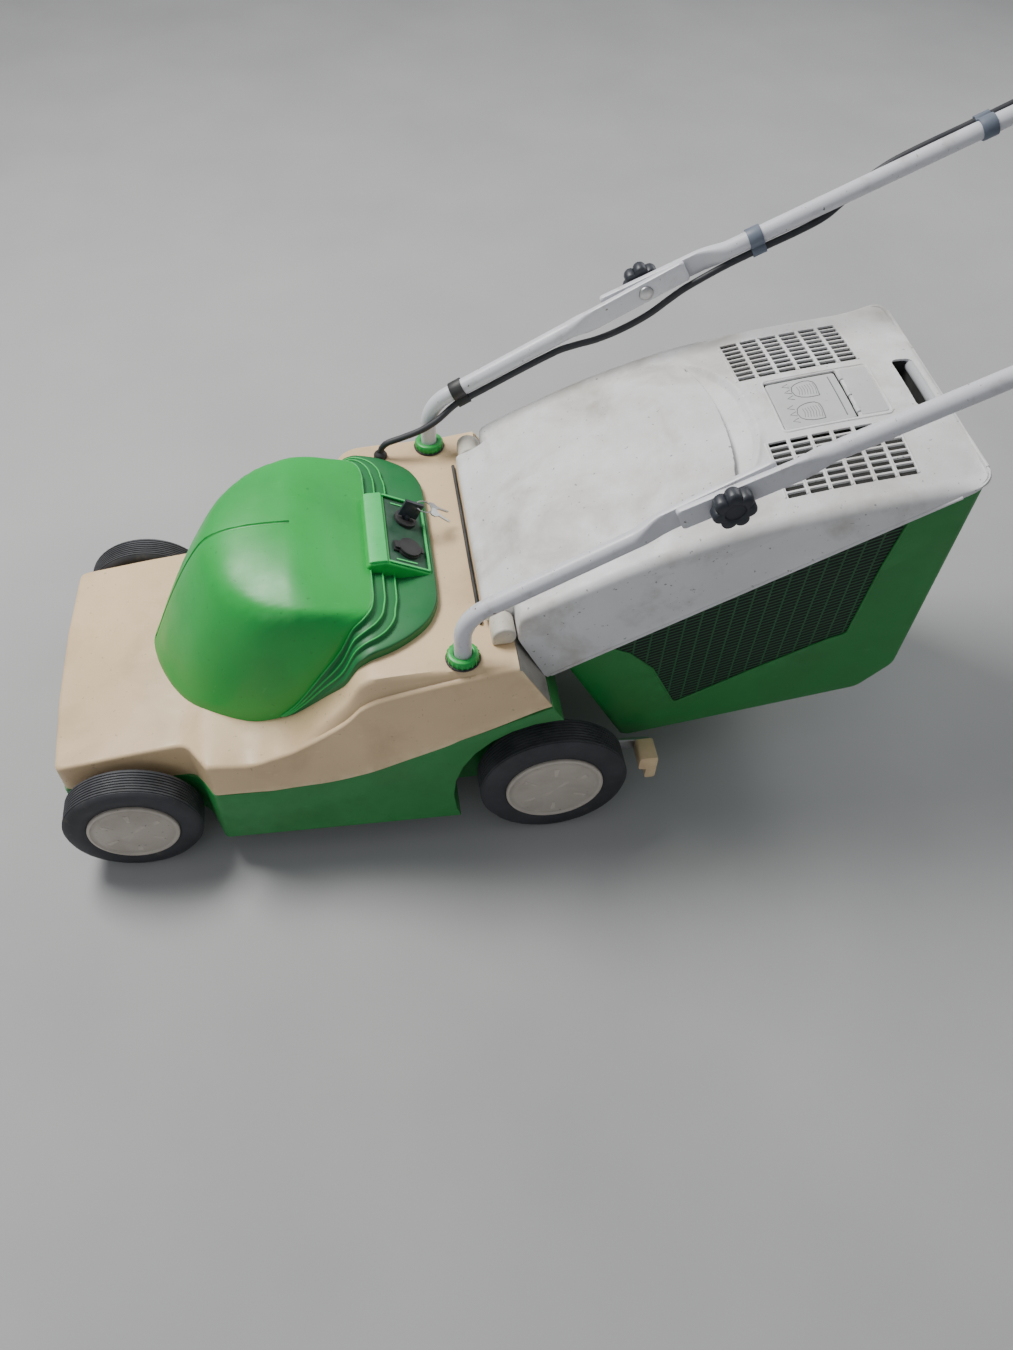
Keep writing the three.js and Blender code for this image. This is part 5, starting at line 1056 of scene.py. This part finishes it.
# ---------------------------------------------------------------- catcher
LID_FRONT, LID_BACK, LID_HALF = 81.0, 665.0, 185.0
LID_TOP = Line([(-20, 352), (0, 360), (60, 402), (130, 444), (200, 475), (300, 508), (400, 528), (500, 541),
    (560, 547), (584, 546), (610, 541)])
SEAM = 270 / 504  # the slope of the line where the lid meets the bag
SEAM_AT = 268 - SEAM * 161


def seam_z(x):
    return SEAM_AT + SEAM * x


def lid_z(x, y):
    swell = clamp((x - LID_FRONT) / 120)
    z = LID_TOP(x - LID_FRONT) - 16 * swell * (y / LID_HALF) ** 2
    # A crescent scoop across the lid: a steep front edge, then a floor that climbs to a raised rear edge.
    a = abs(y)
    if a < 125 and 370 < x < 450:
        bow = 1 - (a / 125) ** 2.6
        front, rear = 380 + 18 * bow, 384 + 47 * bow
        t = (x - front) / (rear - front)
        if x > front - 1:
            drop = smooth((x - front + 1) / 2.2) * (1 - 0.62 * clamp(t)) * (1 - smooth((x - rear + 3) / 3.5))
            z -= 17.0 * bow ** 0.5 * drop
            z += 2.4 * bow ** 0.4 * math.exp(-(((x - rear - 2.5) / 3.0) ** 2))
    return z


def make_lid():
    x0, x1, half = LID_FRONT, LID_BACK, LID_HALF
    outline = fillet([(x0, 0), (x0, 151), (118, 151), (118, half), (x1, half), (x1, 0)], [0, 5, 3, 5, 27, 0],
        [0, 4, 3, 4, 9, 0])
    dense = []
    for a, b in zip(outline, outline[1:]):
        # Points lie closer together beside the scoop.
        a, b = Vector(a), Vector(b)
        near = a.x < x1 - 30 and b.x > 300
        stops = [0, 280 / 547, 350 / 547, 1] if near else [0, 1]
        for c, d, step in zip(stops, stops[1:], (4.5, 1.4, 4.5)):
            count = max(1, round((b - a).length * (d - c) / step))
            dense += [tuple(a.lerp(b, c + (d - c) * k / count)) for k in range(count)]
    dense.append(outline[-1])
    loop = dense[:-1] + [(x, -y) for x, y in reversed(dense[1:])]
    middle, reach, radius = (x0 + x1) / 2, (x1 - x0) / 2, 17.0

    def inward(x, y, s):
        return middle + (x - middle) * (reach - (1 - s) * 110) / reach, y * s

    def low(x):
        if x < 117:
            return 349
        return 349 - (349 - seam_z(157)) * (x - 117) / 40 if x < 157 else seam_z(x)

    rows = []
    count = 8
    for k in range(count + 1):
        row = []
        for x, y in loop:
            edge = lid_z(*inward(x, y, 1 - radius / half)) - min(radius, 0.9 * (lid_z(x, y) - low(x) - 2))
            row.append(P(x, y, low(x) + (max(edge, low(x) + 1) - low(x)) * k / count))
        rows.append(row)
    for k in range(1, 8):
        a = math.radians(90 * k / 7)
        s = 1 - radius * (1 - math.cos(a)) / half
        row = []
        for x, y in loop:
            xx, yy = inward(x, y, s)
            r = min(radius, 0.9 * (lid_z(x, y) - low(x) - 2))
            row.append(P(xx, yy, lid_z(*inward(x, y, 1 - radius / half)) - r * (1 - math.sin(a))))
        rows.append(row)
    for k in range(1, 47):
        s = (1 - radius / half) * (1 - k / 46)
        rows.append([P(*inward(x, y, s), lid_z(*inward(x, y, s))) for x, y in loop])
    lid = face_up(lofted("lid_skin", rows, PALE, closed=True, sharp=42))
    thick(lid, 3, PALE)
    verts, faces = [], []

    def hole(xa, xb, ya, yb, corner):
        ring = rounded_box(xa, xb, ya, yb, corner, 50)
        n, base = len(ring), len(verts)
        verts.extend(P(x, y, z) for z in (430, 620) for x, y in ring)
        faces.extend((tuple(range(base, base + n)), tuple(range(base + n, base + 2 * n))))
        faces.extend((base + i, base + (i + 1) % n, base + n + (i + 1) % n, base + n + i) for i in range(n))

    for s in (-1, 1):
        for row in range(9):
            y = 65 + row * 10.1
            slant = 421 + 17 * max(0.0, 1 - (y / 122) ** 2)
            for column in range(6):
                a = 436 + column * 26.0
                if a >= slant:
                    hole(a, a + 22.5, s * y - 3.9, s * y + 3.9, 1.6)
    hole(624, 652, -47, 47, 9)
    hole(461, 553, -46.4, 46.4, 3)
    cut(lid, from_faces("holes", verts, faces, PALE), PALE)
    put(lid, "catcher", None, "catcher_lid")
    # A folded rim round the lid's lower edge.
    for s in (-1, 1):
        pts = [P(x, s * 185.2, seam_z(x) + 2.4) for x in (163, 250, 350, 450, 550, 630)]
        put(swept("lid_rim_%d" % (s + 1), pts, 2.2, PALE, sides=10), "catcher", "pale_plastic")
    back = [P(665.3, y, seam_z(665) + 2.4) for y in (-158, -80, 0, 80, 158)]
    put(swept("lid_rim_back", back, 2.2, PALE, sides=10), "catcher", "pale_plastic")
    # The pocket under the carry slot, painted near-black as shade, with a bar to hold behind it.
    bar = swept("carry_bar", [P(654.5, y, 537.5 - 0.00045 * y * y) for y in (-56, -52, -30, 0, 30, 52, 56)],
        8.4, BAR, sides=24)
    put(bar, "catcher", "pale_plastic")
    pocket = []
    for z, grow in ((541, 0.5), (512, -2), (508, -5)):
        pocket.append([P(x, y, z) for x, y in rounded_box(624 - grow, 649 + grow, -47 - grow, 47 + grow, 9,
            60)])
    put(lofted("carry_pocket", pocket, POCKET_SHADE, closed=True, caps=(-1,)), "catcher", "pale_plastic")
    # Painted shade: a near-black sheet under the grille, where the bag's inside is in shade.
    for s in (-1, 1):
        shade_rows = [[P(x, s * y, lid_z(x, y) - 9) for x in (428, 480, 540, 602)] for y in (56, 100, 160)]
        put(lofted("grille_shade_%d" % (s + 1), shade_rows, POCKET_SHADE), "catcher", "pale_plastic")
        for k in range(7):
            x = 433 + k * 26.0
            rib = swept("grille_rib_%d_%d" % (s + 1, k), [P(x, s * y, lid_z(x, y) - 0.2)
                for y in (61, 80, 100, 120, 148)], 1.5, PALE, sides=8)
            put(rib, "catcher", "pale_plastic")


make_lid()


def make_flap():
    def top(x, y, h):
        return P(x, y, lid_z(x, y) + h)

    def plate(name, xa, xb, half, h0, h1, corner, body, slot, bevel):
        ring = rounded_box(xa, xb, -half, half, corner, 8)
        middle = Vector(((xa + xb) / 2, 0))
        rows = []
        for scale, h in ((1.0, h0), (1.0, h1 - bevel), (1 - bevel / half, h1), (0.9, h1), (0.6, h1), (0.3, h1),
                (0.02, h1)):
            rows.append([top(*(middle + (Vector(q) - middle) * scale), h) for q in ring])
        return put(lofted(name, rows, PANEL, closed=True, caps=(0, -1)), body, slot)

    def line(name, pts, wide):
        put(swept(name, [top(x, y, -2.1) for x, y in pts], wide, INK, sides=8), "flap", "pale_plastic")

    o = plate("flap_skin", 463.5, 551, 44.5, -4.8, -2.0, 4, "flap", None, 0.8)
    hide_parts("level_flap")
    # Plain drawings on the flap.
    line("flap_divide", [(541, -38), (541, -10), (541, 10), (541, 38)], 0.7)
    for i, (cx, cy) in enumerate(((500, -21), (506, 21))):
        tub = [(cx + 15, cy - 15), (cx + 15, cy + 12), (cx + 4, cy + 17), (cx - 13, cy + 9), (cx - 13, cy - 8),
            (cx, cy - 15), (cx + 15, cy - 15)]
        line("flap_drawing_%d" % i, tub, 0.6)
        for k in range(7):
            x = cx - 8 + k * 3.4
            line("flap_hatch_%d_%d" % (i, k), [(x, cy - 8 - k * 0.6), (x + 2, cy), (x + 1, cy + 8 + k * 0.4)],
                0.35)
        for k in range(3):
            y = cy - 12 + 12 * k
            line("flap_arrow_%d_%d" % (i, k), [(cx - 16, y - 3), (cx - 24, y + 1), (cx - 16, y + 5)], 0.5)
    plate("hinge_panel", 556, 590, 45, -1.5, 0.7, 4, "catcher", "pale_plastic", 0.7)
    for k, y in enumerate((-32, 0, 32)):
        lug = swept("flap_lug_%d" % k, [P(554.5, y + d, lid_z(554, y) - 1.0) for d in (-6.5, 0, 6.5)], 3.0,
            PANEL, sides=16)
        put(lug, "catcher", "pale_plastic")
    edge = rounded_box(459.5, 593, -49.5, 49.5, 7, 10)
    rim = swept("panel_rim", [top(x, y, -0.3) for x, y in edge + [edge[0]]], 1.6, PALE, sides=10)
    put(rim, "catcher", "pale_plastic")


make_flap()


def taper(x, y, z):
    """The bag's sides lean in towards its floor."""
    return y * (1 - max(0.0, seam_z(x) - z) * 0.03 / 178)


def make_bag():
    side = fillet([(420, seam_z(420)), (182, seam_z(182) - 0.3), (278, 92), (619, 146), (659, 192),
        (659, seam_z(659) - 0.3), (420, seam_z(420))], [0, 5, 16, 24, 24, 4, 0], [0, 3, 7, 7, 7, 3, 0])[:-1]
    dense = [Vector(q) for q in resampled(side, 14, closed=True)]
    middle, half, rows = Vector((440, 300)), 178.0, []
    shares = ((0.02, 0), (0.3, 0), (0.6, 0), (0.85, 0), (0.965, 0), (0.985, 0.9), (0.996, 3.0), (1, 6.5),
        (1, half - 60))
    across = [(share, deep - half) for share, deep in shares] + [(share, half - deep) for share,
        deep in reversed(shares)]
    for share, y in across:
        row = []
        for q in dense:
            v = middle + (q - middle) * share
            row.append(P(v.x, taper(v.x, y, v.y), v.y))
        rows.append(row)
    bag = lofted("bag_skin", rows, BAG, closed=True, sharp=30, caps=(0, -1))
    inner = fillet([(420, 700), (190, 700), (192, seam_z(192) - 5), (284, 96), (617, 150), (655, 195),
        (655, 700), (420, 700)], [0, 0, 4, 14, 22, 22, 0, 0], [0, 1, 3, 5, 5, 5, 1, 0])
    room = [[P(x, s * (175.2 - (seam_z(x) - z) * 0.03), z) for x, z in inner[:-1]] for s in (-1, 1)]
    cut(bag, lofted("bag_room", room, BAG, closed=True, caps=(0, 1)), BAG)
    cut(bag, block("bag_mouth", 120, 258, -150, 150, 176, 600, BAG, 0), BAG)
    shape = [(236, 303), (583, 491), (572, 403), (564, 276), (540, 268), (442, 217), (344, 162), (328, 195),
        (303, 247), (266, 287)]
    ring = outline_points(shape, [9] * len(shape), 10)

    def scaled(s, y, k):
        points = [(430 + (x - 430) * k, 330 + (z - 330) * k) for x, z in ring]
        return [P(x, s * taper(x, y, z), z) for x, z in points]

    for s in (-1, 1):
        rows = []
        for y, grow in ((190, 1.006), (175.6, 1.0)):
            rows.append([P(430 + (x - 430) * grow, s * taper(x, y, z), 330 + (z - 330) * grow) for x,
                z in ring])
        cut(bag, lofted("panel_tool", rows, BAG, closed=True, caps=(0, 1)), BAG)
        rows = [scaled(s, 176.6, k) for k in (1.015, 0.9, 0.75, 0.6, 0.45, 0.3, 0.15, 0.02)]
        put(lofted("bag_mesh_%d" % (s + 1), rows, MESH, closed=True, caps=(-1,)), "catcher",
            "bag_green_plastic")
        edge = [P(x, s * taper(x, 177.4, z), z) for x, z in ring + [ring[0]]]
        put(swept("bag_frame_%d" % (s + 1), edge, 1.5, BAG, sides=10), "catcher", "bag_green_plastic")
    put(bag, "catcher", None, "catcher_bag")


make_bag()
skin("hinge_boss_left", 3.0, IVORY, 3)
skin("hinge_boss_right", 3.0, IVORY, 3)

# ---------------------------------------------------------------- inner pieces keep their CAD shape
for node, material in (("motor_can", CAST), ("motor_rotor", STEEL), ("cooling_fan", BLACK),
        ("blade_carrier", CAST), ("blade", STEEL), ("blade_bolt", STEEL), ("battery", BLACK)):
    materials = frame["nodes"][node].data.materials
    for i in range(len(materials)):
        materials[i] = material
    if not materials:
        materials.append(material)

# ---------------------------------------------------------------- floor, light and camera
floor_mesh = bpy.data.meshes.new("floor")
floor_mesh.from_pydata([(-40, -40, 0), (40, -40, 0), (40, 40, 0), (-40, 40, 0)], [], [(0, 1, 2, 3)])
floor = new_object("floor", floor_mesh)
nodes = Nodes("floor_finish")
floor_color = nodes.mix(nodes.span(nodes.noise(3, 4), 0.3, 0.7), (0.37, 0.37, 0.375), (0.41, 0.41, 0.412))
floor_mesh.materials.append(nodes.out(floor_color, 0.75))

world = bpy.data.worlds.new("studio")
bpy.context.scene.world = world
world.use_nodes = True
sky = world.node_tree.nodes["Background"].inputs
sky["Color"].default_value = (0.93, 0.96, 1.0, 1)
sky["Strength"].default_value = 0.36


def area(name, at, to, size, power, color=(1, 1, 1)):
    """A soft light at a place in metres, aimed at another."""
    data = bpy.data.lights.new(name, "AREA")
    data.shape = "RECTANGLE"
    data.size, data.size_y = size
    data.energy = power
    data.color = color
    o = new_object(name, data)
    o.location = at
    o.rotation_euler = (Vector(to) - Vector(at)).to_track_quat("-Z", "Y").to_euler()


area("key_light", (-1.5, 1.0, 2.9), (0, 0, 0.3), (1.3, 1.0), 125, (1, 0.985, 0.96))
area("fill_light", (-2.2, -2.4, 1.5), (0, 0, 0.2), (1.6, 1.4), 8, (0.93, 0.96, 1))
area("back_light", (2.0, 1.8, 1.9), (0, 0, 0.4), (1.6, 1.2), 30)

yaw, pitch, roll = math.radians(-10.03), math.radians(51.44), math.radians(2.0)
forward = Vector((-math.sin(yaw) * math.cos(pitch), math.cos(yaw) * math.cos(pitch), -math.sin(pitch)))
level = Vector((math.cos(yaw), math.sin(yaw), 0))
upward = level.cross(forward)
right = level * math.cos(roll) + upward * math.sin(roll)
above = upward * math.cos(roll) - level * math.sin(roll)
camera_data = bpy.data.cameras.new("camera")
camera_data.sensor_fit = "VERTICAL"
camera_data.sensor_height = 36
camera_data.lens = 28.54
camera = new_object("camera", camera_data)
camera.matrix_world = Matrix((right, above, -forward)).transposed().to_4x4()
camera.location = P(-42.9, -1021.3, 1345.0)
bpy.context.scene.camera = camera
